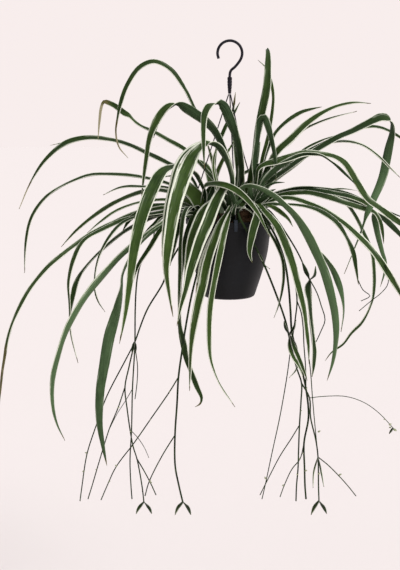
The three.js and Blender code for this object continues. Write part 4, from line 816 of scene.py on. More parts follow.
            (388, 271.8, 28, 6.8), (400, 291.5, 30, 6.8), (410, 309, 30), margin=0.2, tone=0.3, taper=6),
        leafOf(10, (266, 207, 12), (278, 204, 18, 2), (292, 204, 20, 2), (308, 206.5, 22, 3),
            (322, 211.3, 23, 4.5), (336, 221.3, 26, 4.5), (346.5, 237, 28, 3), (353, 251, 30, 5),
            (356, 266, 31, 5.2), (358.5, 284, 31), taper=6),
        leafOf(11, (269, 204, -24), (290, 193, -46, 1.5), (315, 191.5, -60, 1.5), (335, 196, -68, 2),
            (347, 204, -70, 3), (356, 217, -71, 3.5), (363, 231, -71, 3.5), (370, 247, -70, 2.5),
            (373.5, 266, -69, 3.8), (373.8, 284, -68, 3), (371, 302, -67, 1.8), (362, 321, -66, 2.4),
            (351, 332, -65, 2.5), (343, 343, -65, 2), (331.5, 351.5, -64, 2.2), (325, 360, -63), tone=0.2,
            margin=0.06, taper=5),
        leafOf(13, (267, 198, -20), (292, 190, -54), (320, 191, -78), (345, 197.5, -92), (362, 205, -99),
            (378, 213.8, -103, 3.5), (390, 223.2, -105, 5.5), (401, 234.3, -107, 7), (411.6, 246.5, -108),
            taper=7, margin=0.22),
        leafOf(9, (267, 196, -12), (290, 187.5, -34), (320, 187.5, -52), (345, 192, -62), (362, 199, -66),
            (375, 205, -68, 2.5), (386, 210, -70, 3), (402, 216, -72, 2), (409, 219, -73)),
    ], "stems": [
        stemOf(0.7, 0.6, (358, 279, 31), (363, 289, 30), (370, 295, 28), (361, 300, 26)),
        stemOf(0.7, 0.6, (385, 264, 28), (388.5, 278, 27), (387, 285, 26), (380, 293, 25), (371, 300, 24),
            (359, 310, 23)),
    ]},
    # The two at the back are out of sight: some leaves stay low, and some rise behind a broad front leaf
    "back_left": {"at": (-26, 32), "leaves": [
        leafOf(15, (212, 190, -60), (205, 165, -84), (190, 160, -104), (181, 176, -122), (175, 200, -136),
            (171, 226, -145), (168, 255, -150)),
        leafOf(16, (204, 206, -36), (196, 198, -50, 10), (188, 194, -60, 9), (178, 196, -70), tone=0.1),
        leafOf(16, (206, 208, -34), (198, 206, -50, 9), (190, 205, -62, 9), (181, 209, -72), tone=0.15),
        leafOf(14, (205, 198, -50), (180, 178, -74), (163, 176, -94), (152, 190, -110), (146, 208, -120),
            (140, 232, -128), (135, 262, -133)),
    ], "arches": [
        {"azimuth": 128, "long": 190, "rise": 38, "fall": -72, "wide": 14},
        {"azimuth": 112, "long": 250, "rise": 40, "fall": -74, "wide": 17},
        {"azimuth": 98, "long": 210, "rise": 36, "fall": -70, "wide": 15},
        {"azimuth": 146, "long": 130, "rise": 30, "fall": -60, "wide": 12},
        {"azimuth": 104, "long": 120, "rise": 46, "fall": -40, "wide": 11},
    ]},
    "back_right": {"at": (4, 42), "leaves": [
        leafOf(14, (240, 190, -62), (239, 160, -76), (235.5, 135, -96), (233.5, 128, -118),
            (235.5, 138, -138), (239, 160, -154), (240.5, 186, -164), (243, 214, -170)),
        leafOf(13, (248, 192, -66), (254, 165, -86), (257, 145, -112), (257, 142, -136), (255, 158, -158),
            (251, 184, -170), (249, 216, -176)),
    ], "arches": [
        {"azimuth": 84, "long": 270, "rise": 40, "fall": -76, "wide": 18},
        {"azimuth": 68, "long": 210, "rise": 38, "fall": -72, "wide": 16},
        {"azimuth": 54, "long": 150, "rise": 34, "fall": -64, "wide": 13},
        {"azimuth": 96, "long": 200, "rise": 30, "fall": -74, "wide": 15},
        {"azimuth": 76, "long": 120, "rise": 46, "fall": -50, "wide": 11},
    ]},
}

runnerRows = {
    "runner_left_outer": {"at": (-36, -44), "stems": [
        stemOf(1.5, 1.1, (202, 214, 58), (194, 221.5, 66), (184, 238, 62), (170, 262, 70), (163, 282, 77),
            (147, 309, 82), (134.5, 342, 84)),
        stemOf(1, 0.8, (134.5, 342, 84), (125, 360, 86), (106, 397, 90), (96, 425, 92), (87, 453, 93),
            (82, 485, 94), (80, 500, 94)),
        stemOf(1.1, 1, (134.5, 342, 84), (129, 366, 82), (125, 386, 81), (127, 407, 80), (133, 445, 80),
            (137, 458, 80), (142, 485, 80), (144, 502, 80)),
        stemOf(0.9, 0.8, (125, 386, 81), (118, 407, 83), (110, 426, 85), (106, 438, 86), (97, 468, 88),
            (92, 485, 89), (88, 498, 89)),
        stemOf(0.9, 0.8, (137, 458, 80), (143, 468, 78), (151, 483, 76), (156, 494, 75)),
    ]},
    "runner_left_main": {"at": (-14, -46), "stems": [
        stemOf(1.6, 1.3, (213, 205, 58), (206, 232, 74), (199, 264, 80), (191, 297, 84), (185, 330, 85),
            (182, 350, 86), (178.5, 376, 86), (177, 403, 86), (175, 434, 86), (175.2, 465, 86),
            (179, 485, 86), (183, 502, 86)),
        stemOf(1, 0.8, (178.5, 376, 86), (170, 390, 89), (150, 419, 92), (134, 442, 94), (116, 466, 96),
            (107, 485, 97), (101, 499, 97)),
        stemOf(0.9, 0.8, (175, 434, 86), (162, 455, 83), (149, 481, 81), (145, 495, 80)),
    ]},
    "runner_right_front": {"at": (12, -50), "stems": [
        stemOf(1.7, 1.4, (237.5, 209, 57), (238.5, 213, 62), (240.5, 218.5, 68), (245, 226.5, 67),
            (256, 247, 65), (266, 268, 70), (279, 301, 77), (286, 322, 83), (291, 345, 88)),
        stemOf(1.2, 1, (291, 345, 88), (297, 368, 88), (301.5, 382, 88), (301, 400, 88), (299.5, 424, 88),
            (298.5, 452, 88), (298, 468, 88), (296.5, 485, 88), (296, 500, 88)),
        stemOf(1.1, 1, (301.5, 382, 88), (309.5, 397, 89), (310.5, 416, 90), (316, 440, 91), (318, 456, 92),
            (318.5, 485, 93), (319, 501, 93)),
        stemOf(0.8, 0.7, (318, 456, 92), (328, 464, 92), (339, 475, 92), (348, 485, 92), (356, 495, 92)),
        stemOf(0.8, 0.7, (299.5, 424, 88), (291, 438, 85), (280, 455, 83), (266, 482, 81), (260, 494, 80)),
        stemOf(0.8, 0.7, (291, 345, 88), (287, 375, 90), (280, 415, 94), (272, 452, 96), (265, 485, 97),
            (262, 498, 97)),
        stemOf(0.6, 0.5, (309.5, 397, 89), (322, 395.5, 92), (346, 395.5, 98), (365, 402, 102),
            (380, 413, 105), (394, 428, 107)),
        stemOf(0.8, 0.7, (307.5, 346, 96), (310.5, 370, 95), (312.5, 397, 93), (315, 425, 92),
            (318, 455, 92)),
    ]},
}

plantletRows = {
    # the far edge of the tall folded arch
    "middle": [
        leafOf(4, (174.5, 104.6, -10), (167, 109.5, -12, 1.3), (160.5, 118, -13, 1.8), (156.5, 127, -14, 1.6),
            (153.5, 137, -14), margin=0.4, tone=0.1),
    ],
    "right": [
        leafOf(19, (309.5, 279, 79), (307.8, 286, 80, 7), (308.8, 299, 81, 4.6), (310, 316, 82, 2.6),
            (312.2, 336, 82, 3.3), (314, 351, 82, 4.5), (313.3, 363, 82, 3.2), (312, 376, 81), taper=6,
            tone=0),
        leafOf(8, (309.5, 279, 79), (306, 271, 80, 4.2), (302, 260, 79), tone=0.3),
        leafOf(6, (309.5, 279, 79), (314.5, 275, 82, 2.5), (315.5, 265, 84)),
    ],
    "runner_right_front": [
        leafOf(6, (258.5, 252.5, 66.5), (261, 256.5, 68.5, 2.6), (263.5, 261.5, 69), tone=1),
        leafOf(3.5, (258.5, 252.5, 66.5), (263.5, 263, 67.5), (270, 268, 68), tone=0.4),
        leafOf(8, (289.5, 334, 87.5), (293, 344, 90, 3.5), (299, 358, 93, 4), (304, 370, 94, 3),
            (307.5, 380, 94), tone=0.3),
        leafOf(8, (289.5, 334, 87.5), (289, 345, 92, 3), (293, 356, 95, 3.5), (299, 366, 97, 2),
            (303, 376, 98), tone=0.5),
        leafOf(7, (289.5, 334, 87.5), (285.5, 327, 90, 2.5), (284, 320, 92), tone=0.2),
        leafOf(7, (289.5, 334, 87.5), (294, 327, 84, 2.5), (296, 319, 82), tone=0.2),
        leafOf(4, (289.5, 334, 87.5), (295, 343, 86), (298, 360, 90), (296, 369, 92), (289, 377, 93),
            tone=0.2),
        leafOf(4, (318, 456, 92), (314, 471, 94, 1.4), (313, 487, 94), tone=1.6),
        leafOf(4, (318, 456, 92), (321, 470, 90, 1.4), (324, 486, 90), tone=1.6),
        leafOf(4, (393, 427, 107), (391, 430, 108, 2), (389, 433, 109)),
        leafOf(7, (319, 500, 93), (314, 507, 96, 3), (311, 514, 97)),
        leafOf(7, (319, 500, 93), (324, 507, 90, 3), (327, 513, 89)),
    ],
    "runner_left_outer": [
        leafOf(6, (134.5, 341, 84), (133, 347, 86, 2.5), (132, 353, 87), tone=0.2, margin=0),
        leafOf(5, (134.5, 341, 84), (135.5, 346, 82, 2), (136, 351, 81), tone=0.2, margin=0),
        leafOf(7, (144, 501, 80), (139, 507, 83, 3), (136, 513, 84)),
        leafOf(7, (144, 501, 80), (149, 507, 77, 3), (152, 513, 76)),
    ],
    "runner_left_main": [
        leafOf(8, (183, 501, 86), (178, 507, 90, 3), (175, 514, 91)),
        leafOf(8, (183, 501, 86), (188, 507, 82, 3), (191, 514, 81)),
    ],
}


def leafShape(share, taper):  # the share of its full width that a leaf has there
    foot = leafForm["footWidth"]
    base = foot + (1 - foot) * smoothstep(share, 0, leafForm["footLength"])
    return base * max(0, 1 - share ** taper) ** leafForm["tipCurve"]


def turnFor(line, along, flat, visible, last, face):  # the blade's turn that shows the width seen
    up = along.cross(flat)
    across = along.cross(line).normalized()
    lean = math.atan2(up.dot(across), flat.dot(across))
    half = math.acos(min(1, visible))
    turns = [lean + side * half + whole for side in (1, -1) for whole in (0, -math.pi, math.pi)]
    shown = [turn for turn in turns if face * (up * math.cos(turn) - flat * math.sin(turn)).dot(line) <= 0]
    return min(shown, key=lambda turn: abs(turn - last))


def turnsAlong(points, leaf, pixels, side):
    along = directions(points)
    share = shares(points)[0]
    turns = []
    last = 0
    face = leaf.get("face", 0)
    for i, point in enumerate(points):
        if pixels[i] > 0:
            line = point - eye
            width = pixels[i] * line.dot(sight) / picture["focalPixels"]
            visible = width / (leaf["wide"] * leafShape(share[i], leaf["taper"]))
            flat = levelAcross(side, along[i])
            fold = leaf.get("folded") and pixels[i] < leafForm["edgeOn"]
            last = turnFor(line, along[i], flat, visible, last, 0 if fold else face)
            face = -face if fold else face
            turns.append((share[i], last))
    return turns


def levelAcross(side, along):  # the level way across a blade, square to its line
    return (side - side.dot(along) * along).normalized()


def turnAt(turns, share):
    if not turns:
        return 0
    if share <= turns[0][0]:
        return turns[0][1] * smoothstep(share, 0, turns[0][0])
    for (lowPlace, low), (highPlace, high) in zip(turns, turns[1:]):
        if share <= highPlace:
            return low + (high - low) * (share - lowPlace) / (highPlace - lowPlace)
    return turns[-1][1]


def smoothed(values):  # each one as the mean of itself and its neighbours
    near = [values[max(0, i - 1):i + 2] for i in range(len(values))]
    return [sum(group) / len(group) for group in near]


def drynessAt(leaf, share):
    start = leaf.get("dryFrom", leafForm["dryFrom"])
    end = min(1, start + 0.5 * (1 - start) + 0.01)
    return leaf.get("dryTo", leafForm["dryTo"]) * smoothstep(share, start - 0.02, end)


def toneAt(leaf, share):
    late = max(0, (share - leaf["toneFrom"]) / (1 - leaf["toneFrom"]))
    return leaf["tone"] + (leaf.get("toneEnd", leaf["tone"]) - leaf["tone"]) * late


def makeBlade(points, leaf, pixels):  # a grid laid along the leaf's line, turned, keeled and rippled
    reach = points[-1] - points[0]
    side = Vector((-reach.y, reach.x, 0)).normalized()
    turns = turnsAlong(points, leaf, pixels, side)
    givenShares, length = shares(points)
    line = curveThrough(points, leafForm["step"])
    places = [place for passed, place in line]
    along = directions(places)
    share = []
    for passed, place in line:
        i = min(int(passed), len(points) - 2)
        share.append(givenShares[i] + (givenShares[i + 1] - givenShares[i]) * (passed - i))
    turn = smoothed([turnAt(turns, s) for s in share])
    rows = len(places) - 1
    bpy.ops.mesh.primitive_grid_add(x_subdivisions=leafForm["cellsAcross"], y_subdivisions=rows, size=1)
    blade = bpy.context.object
    mesh = blade.data
    seed = leaf["seed"]
    phase = leafForm["phases"] * seed
    ripple = leafForm["wave"] * min(1, leaf["wide"] / leafForm["waveFull"])
    spots = []
    marks = []
    for vertex in mesh.vertices:
        i = min(rows, round((vertex.co.y + 0.5) * rows))
        across = 2 * vertex.co.x
        flat = levelAcross(side, along[i])
        up = along[i].cross(flat)
        acrossLine = -(flat * math.cos(turn[i]) + up * math.sin(turn[i]))
        raised = up * math.cos(turn[i]) - flat * math.sin(turn[i])
        half = leaf["wide"] * leafShape(share[i], leaf["taper"]) / 2
        uneven = 1 + leafForm["uneven"] * math.sin(share[i] * 31 + phase + 2 * across)
        lift = half * leafForm["keel"] * (abs(across) ** leafForm["keelCurve"] - leafForm["keelMiddle"])
        beat = math.sin(share[i] * length / leafForm["waveEvery"] + phase + across)
        wave = ripple * across * abs(across) * beat
        wave *= smoothstep(share[i], 0.1, 0.3) * (1 - smoothstep(share[i], 0.85, 1))
        spots.append(places[i] + acrossLine * (half * across * uneven) + raised * (lift + wave))
        marks.extend((leaf["margin"], drynessAt(leaf, share[i]), toneAt(leaf, share[i]), seed))
    for vertex, spot in zip(mesh.vertices, spots):
        vertex.co = spot * mm
    mesh.uv_layers[0].name = "bladeMap"
    for mark in mesh.uv_layers[0].data:
        mark.uv = (mark.uv[0], mark.uv[1] * length * leafForm["mapScale"])
    traits = mesh.attributes.new("bladeTraits", "FLOAT_COLOR", "POINT")
    traits.data.foreach_set("color", marks)
    bpy.ops.object.shade_smooth()
    return blade


leafRandom = random.Random(7)


def traitsOf(leaf):
    seed = leafRandom.random()
    slim = 1 - smoothstep(leaf["wide"], *leafForm["slimToBroad"])  # slim blades are darker, with less cream
    tone = leafRandom.uniform(*leafForm["tones"]) * (1 - leafForm["slimDarker"] * slim)
    margin = leafRandom.uniform(*leafForm["marginSpread"]) * leafForm["margin"]
    margin *= 1 - leafForm["slimGreener"] * slim
    return {"margin": margin, "tone": tone, "toneFrom": 0, "taper": leafForm["taper"], **leaf, "seed": seed}


def bladeFrom(leaf, *root):
    points = [*root, *(seen(*row[:3]) for row in leaf["line"])]
    pixels = [0] * len(root) + [row[3] if len(row) > 3 else 0 for row in leaf["line"]]
    return makeBlade(points, traitsOf(leaf), pixels)


def archFrom(root, arch):  # a leaf at the back, which rises and bends over evenly
    steps = 8
    turn = math.radians(arch["azimuth"])
    point = root.copy()
    points = [point.copy()]
    for i in range(steps):
        climb = math.radians(arch["rise"] + (arch["fall"] - arch["rise"]) * (i + 0.5) / steps)
        way = Vector((math.cos(climb) * math.cos(turn), math.cos(climb) * math.sin(turn), math.sin(climb)))
        point += way * arch["long"] / steps
        points.append(point.copy())
    return makeBlade(points, traitsOf(arch), [0] * len(points))


# Pot and soil sizes, from the same values as the solids

potForm = {
    "rimRadius": 65,
    "rimBand": 8,
    "wall": 2.2,
    "height": 118,
    "baseRadius": 37,
    "side": [(62.8, -8.8), (61, -29), (58.5, -50), (54.2, -68.5), (48.6, -88), (40, -115)],
    "drainHole": 4.5,
    "drainRing": 22,
    "drainHoles": 4,
}
soilForm = {
    "edge": -7,
    "mound": 5,
    "depth": 115.4,
    "crumbs": 520,
    "crumbSizes": (0.7, 2.1),
    "crumbUneven": (0.7, 1.25),
    "crumbLong": (0.7, 1.8),
    "crumbFlat": 0.6,
    "crumbTilt": 0.6,
    "fibres": 200,
    "fibreRadius": 0.22,
    "fibreStep": 1.9,
    "lumps": ((1.3, 0.14), (0.8, 0.4), (0.4, 1)),  # each a height and how close together they lie
    "humpAt": (24, -4),
    "humpWidth": 13,
    "humpHeight": 12,
}


def soilAt(x, y):
    out = math.hypot(x, y) / (potForm["rimRadius"] - potForm["wall"])
    return picture["rimTop"] + soilForm["mound"] - (soilForm["mound"] - soilForm["edge"]) * out * out


def soilTop(x, y):  # with the hump of coir that lies against the leaves' feet
    humpX, humpY = soilForm["humpAt"]
    spread = soilForm["humpWidth"] * soilForm["humpWidth"] / 2
    away = (x - humpX) ** 2 + (y - humpY) ** 2
    return soilAt(x, y) + soilForm["humpHeight"] * math.exp(-away / spread)


crownForm = {
    "radius": 10,
    "foot": 0.95,
    "top": 0.5,
    "sink": 13,
    "rise": 9,
    "rooted": 2,
    "pleats": 7,
    "pleatTwist": 0.25,
    "pleatDepth": 0.08,
}


def makeCrown(x, y):  # the fleshy foot that the blades leave, pleated where their sheaths wrap it
    form = crownForm
    z = soilAt(x, y)
    middle = (x, y, z + (form["rise"] - form["sink"]) / 2)
    bpy.ops.mesh.primitive_cone_add(vertices=28, radius1=form["foot"] * form["radius"],
                                    radius2=form["top"] * form["radius"],
                                    depth=form["sink"] + form["rise"], location=middle)
    crown = bpy.context.object
    bpy.ops.object.transform_apply(location=True, rotation=True, scale=True)
    startEdit(crown)
    bpy.ops.mesh.subdivide(number_cuts=3)
    bpy.ops.object.mode_set(mode="OBJECT")
    for vertex in crown.data.vertices:
        out = Vector((vertex.co.x - x, vertex.co.y - y, 0))
        turn = math.atan2(out.y, out.x)
        pleat = math.sin(form["pleats"] * turn + form["pleatTwist"] * (vertex.co.z - z))
        out *= form["pleatDepth"] * pleat * min(1, out.length / 5)
        vertex.co += out
    crown.data.transform(toMetres)
    paint(crown, crownSheath)
    bpy.ops.object.shade_smooth()
    return crown


# Stems: thin lines with a radius at each end

stemForm = {"step": 6, "paleUnder": 1, "sink": 10, "rise": 8}


def stemLine(stem, *root):
    points = [*root, *(seen(*row) for row in stem["line"])]
    line = smoothLine(points, stemForm["step"])
    start, end = stem["thick"]
    return line, [start + (end - start) * s for s in shares(line)[0]]


def makeStems(name, stems):  # each is a line, its radii and whether it is pale
    curve = bpy.data.curves.new(name, "CURVE")
    curve.dimensions = "3D"
    curve.bevel_depth = mm
    curve.bevel_resolution = 2
    curve.use_fill_caps = True
    for line, radii, pale in stems:
        spline = curve.splines.new("POLY")
        spline.points.add(len(line) - 1)
        for point, place, radius in zip(spline.points, line, radii):
            point.co = (*(place * mm), 1)
            point.radius = radius
        spline.use_smooth = True
        spline.material_index = 1 if pale else 0
    curve.materials.append(stemDark)
    curve.materials.append(stemPale)
    linked(name, curve)
    bpy.ops.object.convert(target="MESH")
    return bpy.context.object


# Buds and bracts on the stems: a pixel across and down, how far in front, the way it points and its length
budRows = {
    "runner_left_outer": [(87, 452, 93, 165, 4), (84.5, 470, 93.5, 190, 4), (117.5, 407, 83, 20, 4),
        (97, 468, 88, 200, 3), (133, 445, 80, 200, 3.5), (130, 430, 80.5, 330, 3), (150, 481, 76, 340, 4)],
    "runner_left_main": [(117, 465, 96, 150, 4), (110, 480, 97, 210, 4), (150, 419, 92, 60, 3),
        (149, 480, 81, 20, 4), (170, 390, 89, 240, 3), (175, 470, 86, 20, 3)],
    "runner_right_front": [(266, 478, 97, 120, 5), (298, 474, 88, 140, 4), (318, 473, 93, 30, 5),
        (339, 474, 92, 25, 5), (389, 424, 107, 30, 5), (391, 426, 107, 200, 4), (393.5, 428, 107, 330, 6),
        (385, 418, 106, 200, 3), (300.5, 410, 88, 20, 3), (318, 431, 91, 30, 5)],
    "right": [(304.5, 470, 75, 20, 5), (304, 452, 75, 200, 3.5), (300, 458, 73, 150, 4),
        (284, 484, 70, 200, 4), (306, 388, 75, 60, 4)],
}


budForm = {"slim": 0.55, "tip": 0.05, "broad": 1.4, "towards": 0.3, "sunk": 0.4}


def makeBuds(name):
    rows = budRows.get(name, [])
    if not rows:
        return []
    bpy.ops.mesh.primitive_uv_sphere_add(segments=10, ring_count=8, radius=0.5, location=(0, 0, 0))
    first = bpy.context.object
    for vertex in first.data.vertices:  # a drop: round at its foot and drawn out to a point
        share = vertex.co.z + 0.5
        slim = budForm["slim"] * (1 - share ** 2) ** 0.5 + budForm["tip"]
        vertex.co = (vertex.co.x * slim * budForm["broad"], vertex.co.y * slim, share)
    bpy.ops.object.shade_smooth()
    first.data.materials.append(budSkin)
    made = []
    for px, py, towards, turn, long in rows:
        bud = copied(first)
        angle = math.radians(turn)
        way = frameRight * math.cos(angle) + frameUp * math.sin(angle) - budForm["towards"] * sight
        way.normalize()
        facing = way.to_track_quat("Z", "Y").to_matrix().to_4x4()
        foot = seen(px, py, towards) - budForm["sunk"] * way
        bud.data.transform(toMetres @ Matrix.Translation(foot) @ facing @ Matrix.Scale(long, 4))
        made.append(bud)
    bpy.data.objects.remove(first)
    return made


plantletLook = {"margin": 0.12, "tone": 0.75}


def plantletBlades(name):
    return [bladeFrom({**plantletLook, **row}) for row in plantletRows.get(name, [])]


def thicken(blades, name):  # gives the flat blades their thickness, with an underside of its own
    sheet = joinAs(name, blades)
    paint(sheet, leafUpper, leafUnder)
    applyModifier(sheet, "SOLIDIFY", thickness=mm * leafForm["thickness"], offset=0, material_offset=1)
    return sheet


def makeRosette(name, rosette):
    x, y = rosette["at"]
    root = Vector((x, y, soilAt(x, y) - crownForm["rooted"]))
    blades = [bladeFrom(row, root) for row in rosette["leaves"]]
    blades += [archFrom(root, arch) for arch in rosette.get("arches", [])]
    blades += plantletBlades(name)
    parts = [thicken(blades, "leaves_" + name), makeCrown(x, y)]
    stems = []
    for row in rosette.get("stems", []):
        line, radii = stemLine(row, root) if row["rooted"] else stemLine(row)
        stems.append((line, radii, not row["rooted"]))
    if stems:
        parts.append(makeStems("stems_" + name, stems))
    parts += makeBuds(name)
    carry(joinAs("leaves_" + name, parts), "leaf_green", "rosette_" + name)


for name, rosette in leafRows.items():
    makeRosette(name, rosette)
    print("leaves ready:", name, len(rosette["leaves"]))


def makeRunner(name, runner):
    x, y = runner["at"]
    z = soilAt(x, y)
    root = [Vector((x, y, z - stemForm["sink"])), Vector((x, y, z + stemForm["rise"]))]
    stems = []
    for row in runner["stems"]:
        line, radii = stemLine(row, *root)
        stems.append((line, radii, row["thick"][0] < stemForm["paleUnder"]))
        root = []  # only the first stem comes out of the soil
    parts = [makeStems(name + "_stems", stems)]
    blades = plantletBlades(name)
    if blades:
        parts.append(thicken(blades, name + "_plantlets"))
    parts += makeBuds(name)
    carry(joinAs("stems_" + name, parts), "runner_green", name)


for name, runner in runnerRows.items():
    makeRunner(name, runner)
    print("runner ready:", name)


# Pot: a section turned round the axis, with a rolled rim and drain holes

def turned(name, profile, steps):
    mesh = bpy.data.meshes.new(name)
    points = [(mm * radius, 0, mm * height) for radius, height in profile]
    mesh.from_pydata(points, [(i, i + 1) for i in range(len(points) - 1)], [])
    item = linked(name, mesh)
    startEdit(item)
    bpy.ops.mesh.spin(steps=steps, angle=2 * math.pi, center=(0, 0, 0), axis=(0, 0, 1))
    bpy.ops.mesh.select_all(action="SELECT")
    bpy.ops.mesh.remove_doubles(threshold=0.01 * mm)
    endEdit()
    return item


def rounded(points, step):
    return [(place.x, place.y) for place in smoothLine([Vector((r, h, 0)) for r, h in points], step)]


def makePot():
    top = picture["rimTop"]
    rim, band, wall = potForm["rimRadius"], potForm["rimBand"], potForm["wall"]
    deep, base = -potForm["height"], potForm["baseRadius"]
    side = rounded(potForm["side"], 4)
    rimOut = [(rim - 2, 0), (rim - 0.7, -0.25), (rim, -1.1), (rim, -3.6), (rim - 0.25, -3.9),
              (rim - 0.25, -4.3), (rim, -4.6), (rim, -band + 0.6), (rim - 0.5, -band)]
    foot = [(39, deep + 1.2), (base, deep), (base - 2.5, deep), (base - 3.5, deep + 0.9), (0, deep + 0.9)]
    inside = [(r - wall, h) for r, h in reversed(side)]
    inside[0] = (inside[0][0] - 1.2, deep + wall + 0.8)
    profile = foot[::-1] + side[::-1] + rimOut[::-1] + inside[::-1] + [(0, deep + wall + 0.8)]
    pot = turned("pot_shell", [(r, h + top) for r, h in profile], 144)
    drills = []
    ring = mm * potForm["drainRing"]
    for k in range(potForm["drainHoles"]):
        turn = math.pi / 4 + 2 * math.pi * k / potForm["drainHoles"]
        place = (ring * math.cos(turn), ring * math.sin(turn), mm * (top + deep + 1))
        bpy.ops.mesh.primitive_cylinder_add(vertices=32, radius=mm * potForm["drainHole"], depth=12 * mm,
                                            location=place)
        drills.append(bpy.context.object)
    drill = joinAs("drill", drills)
    applyModifier(pot, "BOOLEAN", operation="DIFFERENCE", object=drill, solver="EXACT")
    bpy.data.objects.remove(drill)
    paint(pot, potPlastic)
    smoothUnder(pot, 32)
    carry(pot, "pot_charcoal", "pot")


makePot()
print("pot ready")


# Soil: a lumpy coir mound that fills the pot, with loose crumbs and fibres on it

def makeMound(edge, wall):
    top = picture["rimTop"]
    bottom = top - soilForm["depth"]
    side = [(r - wall, h + top) for r, h in potForm["side"]]
    profile = [(0, bottom), (side[-1][0] - 1.8, bottom)] + side[1:-1][::-1]
    rings = [edge * (1 - k / 24) for k in range(25)]
    profile += [(radius, soilAt(radius, 0)) for radius in rings]
    soil = turned("coir_soil", profile, 128)
    for vertex in soil.data.vertices:
        place = vertex.co * 1000
        if place.z > top - 8 and math.hypot(place.x, place.y) < edge - 0.5:
            vertex.co.z += mm * (soilTop(place.x, place.y) - soilAt(place.x, place.y))
            lumps = sum(high * noise.noise(place * close) for high, close in soilForm["lumps"])
            vertex.co.z += mm * (lumps - 0.5)
    return soil


def makeCrumbs(picks, reach):
    bpy.ops.mesh.primitive_ico_sphere_add(subdivisions=1, radius=1, location=(0, 0, 0))
    crumb = bpy.context.object
    crumbs = []
    for i in range(soilForm["crumbs"]):
        piece = copied(crumb)
        radius, turn = reach * math.sqrt(picks.random()), picks.uniform(0, 2 * math.pi)
        x, y = radius * math.cos(turn), radius * math.sin(turn)
        size = picks.uniform(*soilForm["crumbSizes"])
        for vertex in piece.data.vertices:
            vertex.co *= picks.uniform(*soilForm["crumbUneven"])
        long = size * picks.uniform(*soilForm["crumbLong"])
        shape = Matrix.Diagonal((long, size, size * soilForm["crumbFlat"], 1))
        facing = Matrix.Rotation(picks.uniform(0, 6.28), 4, "Z")
        tilt = picks.uniform(-soilForm["crumbTilt"], soilForm["crumbTilt"])
        facing = facing @ Matrix.Rotation(tilt, 4, "X")
        place = Matrix.Translation((x, y, soilTop(x, y) + 0.1))
        piece.data.transform(toMetres @ place @ facing @ shape)
        crumbs.append(piece)
    bpy.data.objects.remove(crumb)
    return crumbs


def makeFibres(picks, reach, edge):
    fibres = []
    for i in range(soilForm["fibres"]):
        radius, turn = reach * math.sqrt(picks.random()), picks.uniform(0, 2 * math.pi)
        heading, bend = picks.uniform(0, 2 * math.pi), picks.uniform(-0.5, 0.5)
        point = Vector((radius * math.cos(turn), radius * math.sin(turn), 0))
        line = []
        for k in range(6):
            if math.hypot(point.x, point.y) > edge:
                break
            height = soilTop(point.x, point.y) + 0.5 + 1.1 * math.sin(k * 0.6)
            line.append(Vector((point.x, point.y, height)))
            point += soilForm["fibreStep"] * outAt(heading)
            heading += bend
        if len(line) > 2:
            fibres.append((line, [soilForm["fibreRadius"]] * len(line), False))
    return makeStems("coir_strands", fibres)


def makeSoil():
    wall = potForm["wall"] + 0.3
    edge = potForm["rimRadius"] - wall - 2.2
    mound = makeMound(edge, wall)
    picks = random.Random(11)
    crumbs = makeCrumbs(picks, edge * 0.97)
    strands = makeFibres(picks, edge * 0.93, edge - 0.6)
    soil = joinAs("coir_soil", [mound, strands, *crumbs])
    paint(soil, coirFibre)
    for face in soil.data.polygons:
        face.material_index = 0
    smoothUnder(soil, 40)
    carry(soil, "coir_soil", "soil")


makeSoil()
print("soil ready")


# Hanger: hook, neck, three wires and the clip that each ends in

hangerForm = {
    "hookRadius": 16,
    "hookWire": 4,
    "shankBottom": -73,
    "neckTop": -50,
    "neckBottom": -74,
    "neckRadius": 3.4,
    "neckTip": 2.2,
    "crimps": 4,
    "crimpEvery": 4.2,
    "wire": 1.8,
    "wireGather": 1.6,  # how far from the axis the wires leave the neck
    "azimuths": {"front": -83, "right": 37, "left": 157},
    "bows": {"front": 0, "right": -5, "left": 0},
    "clipWide": 5,
    "clipDrop": 13,
    "clipInside": 5.5,
    "clipThick": 1.8,
    "clipTop": 1.8,  # how much thicker it is over the rim
    "seat": 0.3,
    "step": 2.5,
}


def makeTube(name, points, radius, solid):
    line = smoothLine(points, hangerForm["step"])
    tube = makeStems(name, [(line, [radius] * len(line), False)])
    paint(tube, wireCoat)
    carry(tube, "dark_wire", solid)


def makeHook():
    inside, thick = hangerForm["hookRadius"], hangerForm["hookWire"]
    bend = inside + thick / 2
    points = []
    for k in range(11):
        turn = math.radians(205 - 23.5 * k)
        points.append(Vector((bend * math.cos(turn), 0, -inside + bend * math.sin(turn))))
    shank = ((8, -35), (1.5, -41), (0, -48), (0, -60), (0, hangerForm["shankBottom"]))
    points += [Vector((x, 0, z)) for x, z in shank]
    makeTube("hook", points, thick / 2, "hanger_hook")


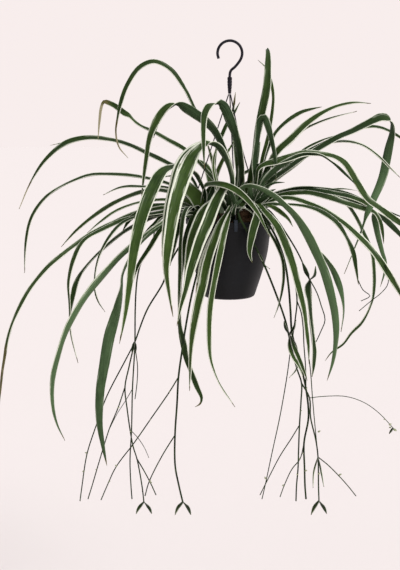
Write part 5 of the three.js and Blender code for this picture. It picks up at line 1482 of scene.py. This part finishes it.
def makeNeck():  # crimped rings, on a neck that narrows to the wires
    form = hangerForm
    bore, out, tip = form["hookWire"] / 2 + 0.3, form["neckRadius"], form["neckTip"]
    low, high = form["neckBottom"], form["neckTop"]
    profile = [(tip - 0.9, low), (tip - 0.3, low), (tip, low + 0.5)]
    for k in range(form["crimps"]):
        height = low + 6.5 + k * form["crimpEvery"]
        wide = out - (out - tip) * max(0, 1 - (height - low) / 13)
        profile += [(wide, height - 0.7), (wide - 0.35, height), (wide, height + 0.7)]
    profile += [(out, high - 0.6), (out - 0.5, high), (bore, high), (bore, low + 8), (tip - 0.9, low)]
    neck = turned("neck", profile, 32)
    paint(neck, wireCoat)
    smoothUnder(neck, 30)
    carry(neck, "dark_wire", "hanger_collar")


def makeClip(name, turn, middle):  # its section bends over the rim, and is drawn out to its width
    form = hangerForm
    out = outAt(turn)
    rim, wall, thick = potForm["rimRadius"], potForm["wall"], form["clipThick"]
    inner, outer = rim - wall - 2.3 - middle, rim + 0.3 - middle
    top = form["clipTop"] + thick
    section = [(inner - thick, top), (outer + thick, top), (outer + thick, -form["clipDrop"]),
               (outer, -form["clipDrop"]), (outer, 0), (inner, 0), (inner, -form["clipInside"]),
               (inner - thick, -form["clipInside"])]
    mesh = bpy.data.meshes.new("clip_" + name)
    mesh.from_pydata([(x, -form["clipWide"] / 2, z) for x, z in section], [], [tuple(range(8))])
    clip = linked("clip_" + name, mesh)
    startEdit(clip)
    bpy.ops.mesh.extrude_region_move(TRANSFORM_OT_translate={"value": (0, form["clipWide"], 0)})
    endEdit()
    applyModifier(clip, "BEVEL", width=0.35, segments=3)
    place = Matrix.Translation((out.x * middle, out.y * middle, picture["rimTop"] + form["seat"]))
    mesh.transform(toMetres @ place @ Matrix.Rotation(turn, 4, "Z"))
    paint(clip, clipPlastic)
    smoothUnder(clip, 35)
    carry(clip, "clip_grey", "rim_clip_" + name)


def makeWire(name, turn, middle):
    form = hangerForm
    out = outAt(turn)
    head = out * form["wireGather"] + Vector((0, 0, form["neckBottom"] - 0.8))
    foot = out * middle
    foot.z = picture["rimTop"] + form["seat"] + form["clipTop"] + form["clipThick"] + 0.6
    half = head.lerp(foot, 0.45) + out * form["bows"][name]
    makeTube("wire_" + name, [head, half, foot], form["wire"] / 2, "hanger_wire_" + name)


makeHook()
makeNeck()
for name, azimuth in hangerForm["azimuths"].items():
    turn, middle = math.radians(azimuth), potForm["rimRadius"] - potForm["wall"] / 2 - 0.4
    makeClip(name, turn, middle)
    makeWire(name, turn, middle)
print("hanger ready")

bpy.ops.object.select_all(action="DESELECT")
